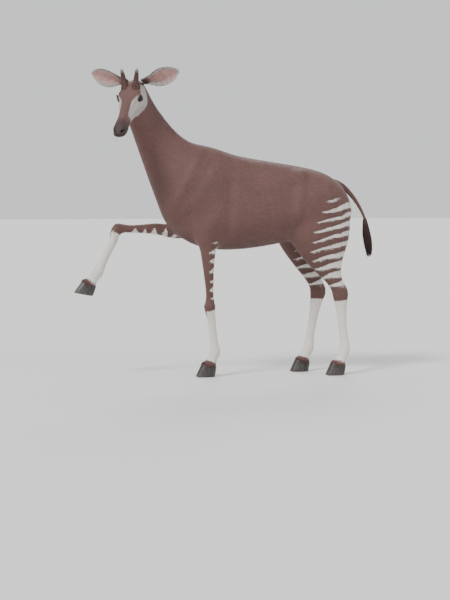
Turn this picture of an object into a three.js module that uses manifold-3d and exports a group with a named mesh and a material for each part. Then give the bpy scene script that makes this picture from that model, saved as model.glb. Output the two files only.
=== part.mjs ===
// Okapi bull, a still life-size model: three feet on the floor, the right foreleg raised, the head turned left.
// Millimetres, +Z up, head towards -X, the animal's left side towards -Y.
import * as THREE from "three";
import { mergeVertices } from "three/addons/utils/BufferGeometryUtils.js";
import Module from "manifold-3d";

const wasm = await Module();
wasm.setup();

// Driving sizes of the animal
const WITHERS = 1500;
const CROUP = 1345;
const CHEST_FLOOR = 818;
const BARREL_HALF = 238;
const EYE_RADIUS = 22.5;
const EAR_LENGTH = 245;
const EAR_WALL = 5;
const OSSICONE_LENGTH = 100;
const DOCK_RADIUS = { root: 26, tip: 10 };
const TUFT_LENGTH = 190;
const TUFT_CORE = { radius: 10, swell: 5, tip: 3, share: 0.5 };
const TUFT_LOCK = { width: 10, thickness: 3.4, flare: 13, sweep: 16 };
const CLEFT = 7;
const GAP = 0.3;

// The pose, in degrees. A limb angle is positive when the lower end swings towards the tail.
const NECK_TURN = 30;
const HEAD_TURN = 60;
const HEAD_DROP = 38;
const FOOT_LINE = { left_fore: -18, right_fore: 112, left_hind: -128, right_hind: 124 };

// Where the origin lies on the drawing of the sections: midway along and across the whole animal
const ORIGIN = new THREE.Vector3(-136, -74, 0);

const COLOURS = {
  coat: [0x5a3a30, 0.85],
  stocking: [0xd9d2c8, 0.85],
  horn_sheath: [0x3a2a24, 0.6],
  claw: [0x2b2725, 0.45],
  eye: [0x140c08, 0.08],
  tuft: [0x2a1a16, 0.9],
};

const V = (x, y, z) => new THREE.Vector3(x, y, z);
const rad = THREE.MathUtils.degToRad;
const smooth = (x, from, to) => THREE.MathUtils.smoothstep(x, from, to);

// One value of a Catmull-Rom spline through a list of numbers, at place t along the list
function splineAt(values, t) {
  const i = Math.min(Math.floor(t), values.length - 2);
  const f = t - i;
  const last = values.length - 1;
  const [a, b, c, d] = [i - 1, i, i + 1, i + 2].map((k) => values[Math.min(Math.max(k, 0), last)]);
  return b + 0.5 * f * (c - a + f * (2 * a - 5 * b + 4 * c - d + f * (3 * (b - c) + d - a)));
}

// A section is a flat slice of the animal: its front or upper point, its rear or lower point, and its half width.
// share is how far down from the first point the slice is widest; crest and keel are how square its two halves are.
function section(first, second, half, { share = 0.5, crest = 2, keel = 2 } = {}) {
  return [...first, ...second, half, share, crest, keel];
}

// Sections between the given ones, a few to each interval
function between(sections, steps) {
  const made = [];
  for (let i = 0; i < sections.length - 1; i++)
    for (let k = 0; k < steps; k++)
      made.push(sections[0].map((_, n) => splineAt(sections.map((s) => s[n]), i + k / steps)));
  made.push(sections.at(-1));
  return made;
}

// Ever smaller sections that round off an end, over a depth away from the section before it
function rounded(end, before, depth, steps) {
  const middle = (s) => V((s[0] + s[2]) / 2, 0, (s[1] + s[3]) / 2);
  const away = middle(end).sub(middle(before)).normalize().multiplyScalar(depth);
  const made = [];
  for (let k = 1; k <= steps; k++) {
    const turn = (k / steps) * 0.96 * (Math.PI / 2);
    const size = Math.cos(turn);
    const mid = middle(end);
    const [dx, dz] = [away.x * Math.sin(turn), away.z * Math.sin(turn)];
    const s = [...end];
    s[0] = mid.x + (end[0] - mid.x) * size + dx;
    s[1] = mid.z + (end[1] - mid.z) * size + dz;
    s[2] = mid.x + (end[2] - mid.x) * size + dx;
    s[3] = mid.z + (end[3] - mid.z) * size + dz;
    s[4] = end[4] * size;
    made.push(s);
  }
  return made;
}

// The ring of points round a section, swollen by the muscles and bones that lie near it
function ringOf(s, around, swellings = []) {
  const [fx, fz, bx, bz, half, share, crest, keel] = s;
  const up = V(fx - bx, 0, fz - bz);
  const height = up.length();
  up.normalize();
  const at = V(fx, 0, fz).addScaledVector(up, -share * height);
  const ring = [];
  for (let k = 0; k < around; k++) {
    const turn = (k / around) * Math.PI * 2;
    const [c, sn] = [Math.cos(turn), Math.sin(turn)];
    const square = c > 0 ? crest : keel;
    const reach = c > 0 ? share * height : (1 - share) * height;
    const p = at.clone().addScaledVector(up, reach * Math.sign(c) * Math.abs(c) ** (2 / square));
    p.y = half * Math.sign(sn) * Math.abs(sn) ** (2 / square);
    const out = p.clone().sub(at).normalize();
    let lift = 0;
    for (const w of swellings) {
      const d = V((p.x - w.at[0]) / w.size[0], (Math.abs(p.y) - w.at[1]) / w.size[1], (p.z - w.at[2]) / w.size[2]);
      lift += w.lift * Math.max(0, 1 - d.lengthSq()) ** 2;
    }
    ring.push(p.addScaledVector(out, lift));
  }
  return ring;
}

// A closed manifold-3d solid from a three.js geometry, with its faces pointing out
function solid(geometry) {
  const bare = new THREE.BufferGeometry();
  bare.setAttribute("position", geometry.getAttribute("position"));
  bare.setIndex(geometry.index);
  const merged = mergeVertices(bare, 1e-4);
  const triVerts = new Uint32Array(merged.index.array);
  const vertProperties = merged.attributes.position.array;
  const made = new wasm.Manifold(new wasm.Mesh({ numProp: 3, vertProperties, triVerts }));
  if (made.volume() > 0) return made;
  for (let i = 0; i < triVerts.length; i += 3) triVerts.subarray(i, i + 3).reverse();
  return new wasm.Manifold(new wasm.Mesh({ numProp: 3, vertProperties, triVerts }));
}

// The solid inside a run of rings, with flat or pointed ends; grow moves its sides and ends out
function tube(rings, grow = 0) {
  const middles = rings.map((r) => r.reduce((sum, p) => sum.add(p), V(0, 0, 0)).divideScalar(r.length));
  const points = [];
  const last = rings.length - 1;
  const along = (i) => middles[Math.min(i + 1, last)].clone().sub(middles[Math.max(i - 1, 0)]).normalize();
  rings.forEach((ring, i) => {
    const end = i === 0 ? -grow : i === last ? grow : 0;
    for (const p of ring) {
      const out = p.clone().sub(middles[i]).normalize();
      points.push(p.clone().addScaledVector(out, grow).addScaledVector(along(i), end));
    }
  });
  points.push(middles[0].clone().addScaledVector(along(0), -grow));
  points.push(middles[last].clone().addScaledVector(along(last), grow));
  const n = rings[0].length;
  const faces = [];
  for (let i = 0; i < last; i++)
    for (let k = 0; k < n; k++) {
      const [a, b] = [i * n + k, i * n + ((k + 1) % n)];
      faces.push(a, b, a + n, b, b + n, a + n);
    }
  for (let k = 0; k < n; k++) {
    faces.push((k + 1) % n, k, points.length - 2);
    faces.push(last * n + k, last * n + ((k + 1) % n), points.length - 1);
  }
  return solid(new THREE.BufferGeometry().setFromPoints(points).setIndex(faces));
}

// Of all the closed surfaces that a cut leaves, the largest
function largest(shape) {
  return shape.decompose().sort((a, b) => b.volume() - a.volume())[0];
}

const group = new THREE.Group();
group.position.copy(ORIGIN).negate();

function addNode(name, shape, colour, parent = group) {
  const mesh = largest(shape).getMesh();
  const geometry = new THREE.BufferGeometry();
  const points = new Float32Array(mesh.numVert * 3);
  for (let i = 0; i < mesh.numVert; i++)
    points.set(mesh.vertProperties.subarray(i * mesh.numProp, i * mesh.numProp + 3), i * 3);
  geometry.setAttribute("position", new THREE.BufferAttribute(points, 3));
  geometry.setIndex(new THREE.BufferAttribute(mesh.triVerts, 1));
  geometry.computeVertexNormals();
  const [color, roughness] = COLOURS[colour];
  const node = new THREE.Mesh(geometry, new THREE.MeshStandardMaterial({ color, roughness, metalness: 0 }));
  node.name = name;
  parent.add(node);
}

// Trunk and neck, one run of sections from the buttocks to inside the head
const TRUNK = [
  section([636, 1182], [660, 1000], 130, { crest: 2.2, keel: 2.2 }),
  section([606, 1240], [634, 950], 168, { share: 0.5, crest: 2.2, keel: 2.2 }),
  section([530, CROUP - 42], [556, 910], 194, { share: 0.46, crest: 2.1, keel: 2.2 }),
  section([435, CROUP - 4], [440, 892], 208, { share: 0.46, crest: 2.1, keel: 2.2 }),
  section([320, CROUP + 20], [305, 882], 218, { share: 0.5, crest: 2.1, keel: 2.1 }),
  section([180, CROUP + 43], [165, 852], 236, { share: 0.55, crest: 2.1, keel: 2.1 }),
  section([30, CROUP + 66], [15, 829], BARREL_HALF, { share: 0.57, crest: 2.05, keel: 2.1 }),
  section([-110, WITHERS - 62], [-130, CHEST_FLOOR], BARREL_HALF - 8, { share: 0.58, crest: 1.95, keel: 2.1 }),
  section([-225, WITHERS - 22], [-262, CHEST_FLOOR + 6], 220, { share: 0.57, crest: 1.8, keel: 2.2 }),
  section([-315, WITHERS], [-392, CHEST_FLOOR + 42], 198, { share: 0.56, crest: 1.75, keel: 2.3 }),
  section([-380, WITHERS + 12], [-500, 930], 178, { share: 0.55, crest: 1.8, keel: 2.2 }),
  section([-432, WITHERS + 38], [-572, 1026], 152, { share: 0.54, crest: 1.85 }),
  section([-484, WITHERS + 78], [-622, 1136], 126, { share: 0.53, crest: 1.9 }),
];
const NECK = [
  section([-536, WITHERS + 128], [-668, 1250], 106, { share: 0.53, crest: 1.95 }),
  section([-594, WITHERS + 196], [-716, 1372], 91, { share: 0.52 }),
  section([-650, WITHERS + 270], [-764, 1486], 80, { share: 0.5 }),
  section([-694, WITHERS + 344], [-808, 1584], 74, { share: 0.5 }),
  section([-736, WITHERS + 396], [-846, 1660], 67, { share: 0.5 }),
  section([-790, WITHERS + 400], [-874, 1706], 52, { share: 0.5 }),
];
const TRUNK_SWELLINGS = [
  { at: [-318, 165, 1250], size: [150, 130, 260], lift: 20 },
  { at: [-520, 110, 1080], size: [115, 110, 125], lift: 22 },
  { at: [-330, 190, 960], size: [150, 110, 120], lift: 16 },
  { at: [-566, 0, 1010], size: [110, 80, 110], lift: 14 },
  { at: [318, 150, 1322], size: [80, 80, 60], lift: 15 },
  { at: [470, 185, 1110], size: [190, 120, 230], lift: 24 },
  { at: [600, 70, 1200], size: [60, 50, 60], lift: 12 },
  { at: [235, 210, 1190], size: [120, 130, 120], lift: -18 },
  { at: [240, 190, 930], size: [110, 110, 100], lift: -10 },
];
const TRUNK_STEPS = 2;
const TRUNK_AROUND = 26;
const NECK_RING = (TRUNK.length - 1) * TRUNK_STEPS + 1;

// How far the neck has turned to the side at place i along its rings, in radians
const ringCount = (TRUNK.length + NECK.length - 1) * TRUNK_STEPS + 1;
const turnAt = (i) => rad(NECK_TURN) * smooth(i, NECK_RING - 5, ringCount - 1);

// The side profile's rings, each set after the one before it along the turned neck
function turnedRings(sections) {
  const middle = (s) => V((s[0] + s[2]) / 2, 0, (s[1] + s[3]) / 2);
  const upright = V(0, 0, 1);
  const place = middle(sections[0]);
  return sections.map((s, i) => {
    if (i) place.add(middle(s).sub(middle(sections[i - 1])).applyAxisAngle(upright, turnAt(i)));
    const ring = ringOf(s, TRUNK_AROUND, TRUNK_SWELLINGS);
    return ring.map((p) => p.sub(middle(s)).applyAxisAngle(upright, turnAt(i)).add(place));
  });
}

const spineSections = between([...TRUNK, ...NECK], TRUNK_STEPS);
const spineRings = turnedRings(spineSections);
const buttock = turnedRings(rounded(spineSections[0], spineSections[1], 24, 4)).reverse();
const neckEnd = spineRings.at(-1).reduce((sum, p) => sum.add(p), V(0, 0, 0)).divideScalar(TRUNK_AROUND);
const trunkSolid = tube([...buttock, ...spineRings.slice(0, NECK_RING + 1)]);

// The head, drawn level with its face towards -X, its poll at the origin
const HEAD = [
  section([8, 42], [-4, -28], 40, { share: 0.45, crest: 2.1 }),
  section([-24, 72], [-36, -78], 61, { share: 0.45, crest: 2.1 }),
  section([-62, 86], [-66, -108], 72, { share: 0.42, crest: 2.2, keel: 1.9 }),
  section([-104, 90], [-104, -118], 77, { share: 0.4, crest: 2.3, keel: 1.85 }),
  section([-142, 83], [-140, -114], 79, { share: 0.36, crest: 2.4, keel: 1.8 }),
  section([-176, 71], [-176, -103], 75, { share: 0.34, crest: 2.4, keel: 1.75 }),
  section([-214, 58], [-214, -91], 64, { share: 0.38, crest: 2.3, keel: 1.8 }),
  section([-258, 46], [-258, -80], 53, { share: 0.44, crest: 2.2, keel: 1.9 }),
  section([-306, 36], [-306, -71], 45.5, { share: 0.48, crest: 2.2 }),
  section([-356, 28], [-352, -65], 42, { share: 0.5, crest: 2.2, keel: 2.1 }),
  section([-398, 22], [-392, -64], 43, { share: 0.5, crest: 2.3, keel: 2.2 }),
  section([-432, 13], [-422, -66], 44.5, { share: 0.5, crest: 2.3, keel: 2.2 }),
  section([-456, -1], [-443, -64], 41.5, { share: 0.48, crest: 2.2, keel: 2.2 }),
  section([-472, -14], [-457, -57], 35, { share: 0.48, crest: 2.1, keel: 2.1 }),
];
const NOSE_ROUNDING = { depth: 17, steps: 4 };
const EYE_AT = V(-168, 60.5, 28);
const EYE_OUT = V(-0.4, 0.9, 0.18).normalize();
const NOSTRIL_AT = V(-456, 26, -6);
const MOUTH_CORNER = V(-372, 0, -34);
const HEAD_SWELLINGS = [
  { at: [-160, 72, 50], size: [44, 34, 24], lift: 9 },
  { at: [-104, 66, -46], size: [62, 44, 52], lift: 9 },
  { at: [-92, 64, 48], size: [38, 30, 30], lift: -6 },
  { at: [-244, 50, 12], size: [58, 30, 26], lift: -5 },
  { at: [-220, 58, -22], size: [70, 30, 16], lift: 5 },
  { at: [-450, 30, 4], size: [26, 22, 18], lift: 6 },
  { at: [-404, 22, 20], size: [34, 20, 20], lift: -3 },
  { at: [-452, 26, -36], size: [34, 26, 15], lift: 5 },
  { at: [-436, 0, -66], size: [32, 30, 16], lift: 5 },
  { at: [-250, 0, -84], size: [110, 18, 22], lift: -6 },
  { at: [-112, 40, 88], size: [42, 30, 26], lift: 9 },
];
const HEAD_AROUND = 30;
const HEAD_STEPS = 2;
const POLL = V(-756, 0, WITHERS + 350);

// The head hangs in a group of its own, which the end of the turned neck carries
const headGroup = new THREE.Group();
{
  const s = spineSections.at(-1);
  const sideView = V((s[0] + s[2]) / 2, 0, (s[1] + s[3]) / 2);
  const offset = POLL.clone().sub(sideView).applyAxisAngle(V(0, 0, 1), rad(NECK_TURN));
  headGroup.position.copy(neckEnd).add(offset);
  headGroup.rotation.set(0, rad(-HEAD_DROP), rad(HEAD_TURN), "ZYX");
  headGroup.updateMatrix();
  group.add(headGroup);
}
const toBody = headGroup.matrix;
const toHead = toBody.clone().invert();

const headSections = between(HEAD, HEAD_STEPS);
const headRings = [
  ...rounded(headSections[0], headSections[1], 14, 3).reverse(),
  ...headSections,
  ...rounded(headSections.at(-1), headSections.at(-2), NOSE_ROUNDING.depth, NOSE_ROUNDING.steps),
].map((s) => ringOf(s, HEAD_AROUND, HEAD_SWELLINGS));
const headBody = (grow) => tube(headRings, grow);

const side = (v, sign) => V(v.x, v.y * sign, v.z);

// A ball, smooth enough for an eye or for cutting a hollow
function ball(radius, at, stretch = V(1, 1, 1), spin = new THREE.Euler()) {
  const geometry = new THREE.SphereGeometry(radius, 16, 12);
  geometry.scale(stretch.x, stretch.y, stretch.z);
  geometry.applyMatrix4(new THREE.Matrix4().makeRotationFromEuler(spin));
  geometry.translate(at.x, at.y, at.z);
  return solid(geometry);
}

// The two eyelids as one almond loop lying on the ball of the eye, the upper lid heavier than the lower
const LID = { corner: 64, upper: 35, lower: 41, thick: 4, heavier: 1.6, sunk: 0.4 };
function lids(sign) {
  const out = side(EYE_OUT, sign);
  const forward = V(-1, 0, -0.28).projectOnPlane(out).normalize();
  const up = forward.clone().cross(out).multiplyScalar(-sign);
  if (up.z < 0) up.negate();
  const along = 24;
  const round = 6;
  const rings = [...Array(along).keys()].map((i) => {
    const turn = (i / along) * Math.PI * 2;
    const rise = Math.sin(turn);
    const height = rise > 0 ? LID.upper : LID.lower;
    const open = rad(Math.hypot(LID.corner * Math.cos(turn), height * rise));
    const way = forward.clone().multiplyScalar(Math.cos(turn)).addScaledVector(up, rise).normalize();
    const outward = out.clone().multiplyScalar(Math.cos(open)).addScaledVector(way, Math.sin(open));
    const at = side(EYE_AT, sign).addScaledVector(outward, EYE_RADIUS + LID.sunk);
    const thick = LID.thick + LID.heavier * Math.max(0, rise);
    const away = way.clone().multiplyScalar(Math.cos(open)).addScaledVector(out, -Math.sin(open));
    return [...Array(round).keys()].map((k) => {
      const spin = (k / round) * Math.PI * 2;
      return at.clone().addScaledVector(outward, thick * Math.cos(spin)).addScaledVector(away, thick * Math.sin(spin));
    });
  });
  const faces = [];
  for (let i = 0; i < along; i++)
    for (let k = 0; k < round; k++) {
      const [a, b] = [i * round + k, i * round + ((k + 1) % round)];
      const [c, d] = [a, b].map((n) => (n + round) % (along * round));
      faces.push(a, b, c, b, d, c);
    }
  return solid(new THREE.BufferGeometry().setFromPoints(rings.flat()).setIndex(faces));
}

// The line of the mouth: a thin curved slot round the muzzle, as deep as the lips
function mouthSlot() {
  const depth = 7;
  const height = 3;
  const shape = new THREE.Shape();
  const line = new THREE.CatmullRomCurve3([
    MOUTH_CORNER,
    V(-405, 0, -45),
    V(-440, 0, -49),
    V(-500, 0, -49),
  ]).getPoints(10);
  line.forEach((p, i) => (i ? shape.lineTo(p.x, p.z) : shape.moveTo(p.x, p.z + height * 0.2)));
  line.reverse().forEach((p) => shape.lineTo(p.x, p.z + height));
  const geometry = new THREE.ExtrudeGeometry(shape, { depth: 140, bevelEnabled: false });
  geometry.translate(0, 0, -70);
  geometry.rotateX(Math.PI / 2);
  return solid(geometry).subtract(tube(headRings.slice(0, -2), -depth));
}

function headShape() {
  let shape = headBody(0).add(lids(1)).add(lids(-1)).subtract(mouthSlot());
  for (const sign of [1, -1]) {
    shape = shape.subtract(ball(EYE_RADIUS + GAP, side(EYE_AT, sign)));
    const tilt = new THREE.Euler(sign * 0.5, 0.75, sign * -0.5);
    shape = shape.subtract(ball(12, side(NOSTRIL_AT, sign).add(V(0, sign * 7, 0)), V(1.4, 0.85, 0.52), tilt));
  }
  return shape;
}

// An ear: a cupped leaf on a rolled root, with an inner and an outer face alike
const EAR_ARC = [44, 50, 60, 69, 73, 70, 60, 42, 9];
const EAR_ROLL = [2.6, 2.3, 1.85, 1.45, 1.2, 1.05, 0.95, 0.9, 0.85];
function ear(sign) {
  const rows = 10;
  const columns = 8;
  const root = V(-36, 48, 58);
  const out = V(0.24, 0.95, 0.17).normalize();
  const facing = V(-0.86, 0.2, 0.2).projectOnPlane(out).normalize();
  const edge = out.clone().cross(facing).normalize();
  const face = (depth) => {
    const points = [];
    for (let i = 0; i <= rows; i++) {
      const s = i / rows;
      const stage = s * (EAR_ARC.length - 1);
      const roll = splineAt(EAR_ROLL, stage);
      const radius = splineAt(EAR_ARC, stage) / roll;
      const back = 30 * s * s - 20;
      for (let k = 0; k <= columns; k++) {
        const t = (k / columns) * 2 - 1;
        const r = radius - depth * (1 - 0.6 * t ** 4) * (1 - 0.35 * s);
        const p = root.clone().addScaledVector(out, s * EAR_LENGTH);
        p.addScaledVector(facing, back + radius - r * Math.cos(t * roll));
        p.addScaledVector(edge, r * Math.sin(t * roll));
        points.push(V(p.x, p.y * sign, p.z));
      }
    }
    return points;
  };
  const [outer, inner] = [face(0), face(EAR_WALL)];
  const n = columns + 1;
  const count = outer.length;
  const faces = [];
  for (let i = 0; i < rows; i++)
    for (let k = 0; k < columns; k++) {
      const a = i * n + k;
      faces.push(a, a + 1, a + n, a + 1, a + n + 1, a + n);
      faces.push(count + a, count + a + n, count + a + 1, count + a + 1, count + a + n, count + a + n + 1);
    }
  const rim = [];
  for (let k = 0; k < columns; k++) rim.push([k, k + 1]);
  for (let i = 0; i < rows; i++) rim.push([i * n + columns, (i + 1) * n + columns]);
  for (let k = columns; k > 0; k--) rim.push([rows * n + k, rows * n + k - 1]);
  for (let i = rows; i > 0; i--) rim.push([i * n, (i - 1) * n]);
  for (const [a, b] of rim) faces.push(b, a, count + a, b, count + a, count + b);
  const leaf = solid(new THREE.BufferGeometry().setFromPoints([...outer, ...inner]).setIndex(faces));
  const plug = ball(18, side(root, sign), V(1, 1.3, 1));
  return leaf.add(plug);
}

// A bull's ossicone: a short skin-covered horn on a flared foot, slanting back to a blunt tip
const OSSICONE_RADII = [29, 23, 19, 16.5, 15, 13.5, 12, 10, 4.5];
function ossicone(sign) {
  const sunk = 24;
  const around = 12;
  const foot = V(-110, 37, 92);
  const out = V(0.46, 0.14, 0.86).normalize();
  const across = V(0, 1, -0.16).normalize();
  const rings = OSSICONE_RADII.map((radius, i) => {
    const s = i / (OSSICONE_RADII.length - 1);
    const along = V(1, 0, 0.05).lerp(V(0.88, 0, -0.46), s);
    const at = foot.clone().addScaledVector(out, s * (OSSICONE_LENGTH + sunk) - sunk);
    at.x += 14 * s * (1 - s);
    return [...Array(around).keys()].map((k) => {
      const turn = (k / around) * Math.PI * 2;
      const p = at.clone().addScaledVector(across, radius * Math.cos(turn));
      p.addScaledVector(along, radius * 1.15 * Math.sin(turn));
      return V(p.x, p.y * sign, p.z);
    });
  });
  return tube(rings);
}

// Legs, drawn from the side with the sole on the floor; each has the same rings from shoulder or hip to coronet
const FORE = [
  section([-430, 1190], [-270, 1190], 24),
  section([-468, 1085], [-218, 1070], 54),
  section([-436, 985], [-204, 965], 60),
  section([-392, 905], [-226, 912], 62, { share: 0.4 }),
  section([-372, 842], [-250, 848], 57, { share: 0.45 }),
  section([-364, 765], [-262, 765], 49, { share: 0.45 }),
  section([-357, 670], [-274, 670], 41, { share: 0.47 }),
  section([-351, 570], [-281, 570], 35),
  section([-351, 510], [-282, 510], 36, { share: 0.45, crest: 2.3 }),
  section([-357, 465], [-279, 462], 41, { share: 0.42, crest: 2.5 }),
  section([-351, 418], [-283, 418], 38, { share: 0.42, crest: 2.4 }),
  section([-343, 368], [-283, 368], 30),
  section([-340, 290], [-284, 290], 26, { share: 0.42 }),
  section([-341, 215], [-281, 215], 27.5, { share: 0.42 }),
  section([-350, 162], [-274, 152], 35, { share: 0.5, crest: 2.2, keel: 2.2 }),
  section([-367, 120], [-300, 100], 33, { share: 0.5, crest: 2.2, keel: 2.2 }),
  section([-397, 83], [-309, 66], 42, { share: 0.5, crest: 2.2, keel: 2.3 }),
];
const HIND = [
  section([350, 1225], [560, 1220], 30),
  section([268, 1120], [620, 1112], 76),
  section([222, 1010], [642, 1005], 92),
  section([204, 925], [638, 915], 92, { share: 0.52 }),
  section([226, 855], [618, 836], 82, { share: 0.5 }),
  section([274, 788], [590, 765], 68, { share: 0.5 }),
  section([338, 720], [578, 698], 55, { share: 0.46 }),
  section([404, 655], [584, 640], 44, { share: 0.42, keel: 1.8 }),
  section([458, 603], [606, 598], 37, { share: 0.38, keel: 1.7 }),
  section([494, 556], [626, 566], 39, { share: 0.38, crest: 2.4, keel: 1.8 }),
  section([508, 515], [616, 515], 40, { share: 0.42, crest: 2.4 }),
  section([514, 466], [600, 462], 36, { share: 0.44 }),
  section([518, 400], [588, 396], 29, { share: 0.44 }),
  section([519, 310], [580, 306], 26.5, { share: 0.44 }),
  section([517, 222], [579, 216], 28, { share: 0.44 }),
  section([506, 165], [582, 153], 35, { crest: 2.2, keel: 2.2 }),
  section([487, 120], [556, 100], 33, { crest: 2.2, keel: 2.2 }),
  section([458, 83], [546, 66], 42, { crest: 2.2, keel: 2.3 }),
];
const LEG_STEPS = 2;
const LEG_AROUND = 12;
const SCAPULA = [-330, 1400];
const ELBOW = [-306, 885];
const KNEE = [-316, 462];
const FORE_FETLOCK = [-312, 156];
const HIP = [450, 1120];
const STIFLE = [262, 905];
const HOCK = [556, 548];
const HIND_FETLOCK = [545, 158];

// A joint turns every ring past it, and part way for the few rings of the bend
const bend = (pivot, angle, from, to) => ({ pivot, angle, from, to });

// The bends of a leg that stands: the fetlock takes back what the joints above it turned, so the sole lies level
function standing(fetlock, ...bends) {
  const turned = bends.reduce((sum, b) => sum + b.angle, 0);
  return [...bends, bend(fetlock, -turned, 13, 15)];
}
const LEGS = {
  left_fore: {
    sections: FORE, sign: -1, root: -128, split: [3, 9], raised: 0,
    bends: standing(FORE_FETLOCK, bend(ELBOW, 5, 1, 4), bend(KNEE, 2, 8, 10)),
  },
  right_fore: {
    sections: FORE, sign: 1, root: 122, split: [3, 9], raised: 58,
    bends: [bend(SCAPULA, -13, 0, 1), bend(ELBOW, -76, 1.8, 5.2), bend(KNEE, 62, 7.8, 10.2),
      bend(FORE_FETLOCK, 16, 13, 15)],
  },
  left_hind: {
    sections: HIND, sign: -1, root: -114, split: [2, 10], raised: 0,
    bends: standing(HIND_FETLOCK, bend(HIP, 4, 0, 1), bend(STIFLE, -4, 3, 6), bend(HOCK, 7, 9, 11)),
  },
  right_hind: {
    sections: HIND, sign: 1, root: 114, split: [2, 10], raised: 0,
    bends: standing(HIND_FETLOCK, bend(HIP, -5, 0, 1), bend(STIFLE, -1, 3, 6), bend(HOCK, -1, 9, 11)),
  },
};
const LEG_SWELLINGS = [
  { at: [-222, 0, 915], size: [44, 60, 40], lift: 8 },
  { at: [-352, 18, 465], size: [26, 26, 36], lift: 4 },
  { at: [-300, 27, 300], size: [22, 16, 110], lift: -4 },
  { at: [632, 0, 585], size: [34, 34, 34], lift: 6 },
  { at: [545, 27, 320], size: [22, 16, 110], lift: -4 },
  { at: [590, 30, 640], size: [40, 22, 80], lift: -8 },
  { at: [205, 60, 925], size: [60, 60, 70], lift: 8 },
];

// The point that a place on the drawing comes to once the joints above it have turned
function posed(p, index, leg) {
  const q = p.clone();
  for (const { pivot, angle, from, to } of [...leg.bends].reverse()) {
    const turn = rad(angle) * THREE.MathUtils.clamp((index - from) / (to - from), 0, 1);
    const [x, z] = [q.x - pivot[0], q.z - pivot[1]];
    q.x = pivot[0] + x * Math.cos(turn) - z * Math.sin(turn);
    q.z = pivot[1] + x * Math.sin(turn) + z * Math.cos(turn);
  }
  return q;
}

// How far a leg has to be lowered for its sole to stand on the floor; a raised leg is lifted instead
function dropOf(leg) {
  if (leg.raised) return -leg.raised;
  const [fx, , bx] = leg.sections.at(-1);
  return posed(V((fx + bx) / 2, 0, 0), leg.sections.length - 1, leg).z;
}

function legRings(name) {
  const leg = LEGS[name];
  const sections = between(leg.sections, LEG_STEPS);
  const drop = dropOf(leg);
  return sections.map((s, i) => {
    const index = i / LEG_STEPS;
    const offset = THREE.MathUtils.lerp(leg.root, FOOT_LINE[name], smooth(index, 1, leg.sections.length - 3));
    return ringOf(s, LEG_AROUND, LEG_SWELLINGS).map((p) => {
      const q = posed(p, index, leg);
      q.y += offset;
      q.z -= drop;
      return q;
    });
  });
}

// A claw: half of the cloven hoof, from the coronet down to its flat sole
function claw(name, half) {
  const leg = LEGS[name];
  const around = 14;
  const [fx, fz, bx, bz] = leg.sections.at(-1);
  const slope = (fz - bz) / (fx - bx);
  const drop = dropOf(leg);
  const toe = fx - 42;
  const heel = bx - 10;
  const sole = { mid: (toe + heel) / 2, long: (heel - toe) / 2, wide: 23 };
  const crown = { mid: (fx + bx) / 2, long: (bx - fx) / 2 + 1, wide: 21 };
  const levels = [0, 0.07, 0.5, 1];
  const rings = levels.map((up) => {
    const ease = up ** 0.9;
    const mid = THREE.MathUtils.lerp(sole.mid, crown.mid, ease);
    const long = THREE.MathUtils.lerp(sole.long, crown.long, ease) - (up === 0 ? 3 : 0);
    const wide = THREE.MathUtils.lerp(sole.wide, crown.wide, ease) - (up === 0 ? 2 : 0);
    const ring = [];
    for (let k = 0; k < around; k++) {
      const turn = (k / around) * Math.PI * 2;
      const x = mid + long * Math.cos(turn);
      const forward = Math.max(0, -Math.cos(turn));
      const inner = Math.sin(turn) * half < 0;
      const y = wide * Math.sin(turn) * (1 - 0.36 * forward ** 1.5) * (inner ? 0.86 : 1);
      const top = fz + (x - fx) * slope - GAP;
      ring.push(V(x, y + half * (wide * 0.86 + CLEFT / 2), up * top));
    }
    return ring;
  });
  const index = leg.sections.length - 1;
  return tube(rings.map((ring) => ring.map((p) => {
    const q = posed(p, index, leg);
    q.y += FOOT_LINE[name];
    q.z -= drop;
    return q;
  })));
}

// The tail: a round dock that leaves the croup, swings clear of the thighs and ends in a tuft of long locks
const tailLine = new THREE.CatmullRomCurve3([
  V(560, 0, 1262),
  V(622, 0, 1238),
  V(700, -6, 1162),
  V(768, -14, 1050),
  V(800, -18, 950),
]);
function dockRings() {
  const steps = 11;
  const around = 10;
  const rings = [];
  for (let i = 0; i <= steps; i++) {
    const s = i / steps;
    const at = tailLine.getPointAt(s);
    const along = tailLine.getTangentAt(s);
    const across = V(0, 1, 0).projectOnPlane(along).normalize();
    const up = along.clone().cross(across);
    const radius = DOCK_RADIUS.root - (DOCK_RADIUS.root - DOCK_RADIUS.tip) * s ** 0.8;
    const ring = [];
    for (let k = 0; k < around; k++) {
      const turn = (k / around) * Math.PI * 2;
      ring.push(at.clone().addScaledVector(across, radius * Math.cos(turn)).addScaledVector(up, radius * Math.sin(turn)));
    }
    rings.push(ring);
  }
  return rings;
}

// A lock of hair: a flat blade that tapers to its tip along a curve
function lock(points, width, thickness, face) {
  const curve = new THREE.CatmullRomCurve3(points);
  const steps = 4;
  const rings = [];
  for (let i = 0; i <= steps; i++) {
    const s = i / steps;
    const at = curve.getPointAt(s);
    const along = curve.getTangentAt(s);
    const flat = face.clone().projectOnPlane(along).normalize();
    const wide = along.clone().cross(flat);
    const size = Math.sin(Math.PI * Math.min(0.28 + 0.72 * s, 0.97)) * 1.02;
    const corners = [[1, 0], [0, 1], [-1, 0], [0, -1]];
    rings.push(corners.map(([a, b]) => at.clone()
      .addScaledVector(wide, a * width * size).addScaledVector(flat, b * thickness * size)));
  }
  return tube(rings);
}

// Seeded numbers from 0 to 1
function seeded(seed) {
  let state = seed;
  return () => {
    state = (state * 1664525 + 1013904223) % 4294967296;
    return state / 4294967296;
  };
}

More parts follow.
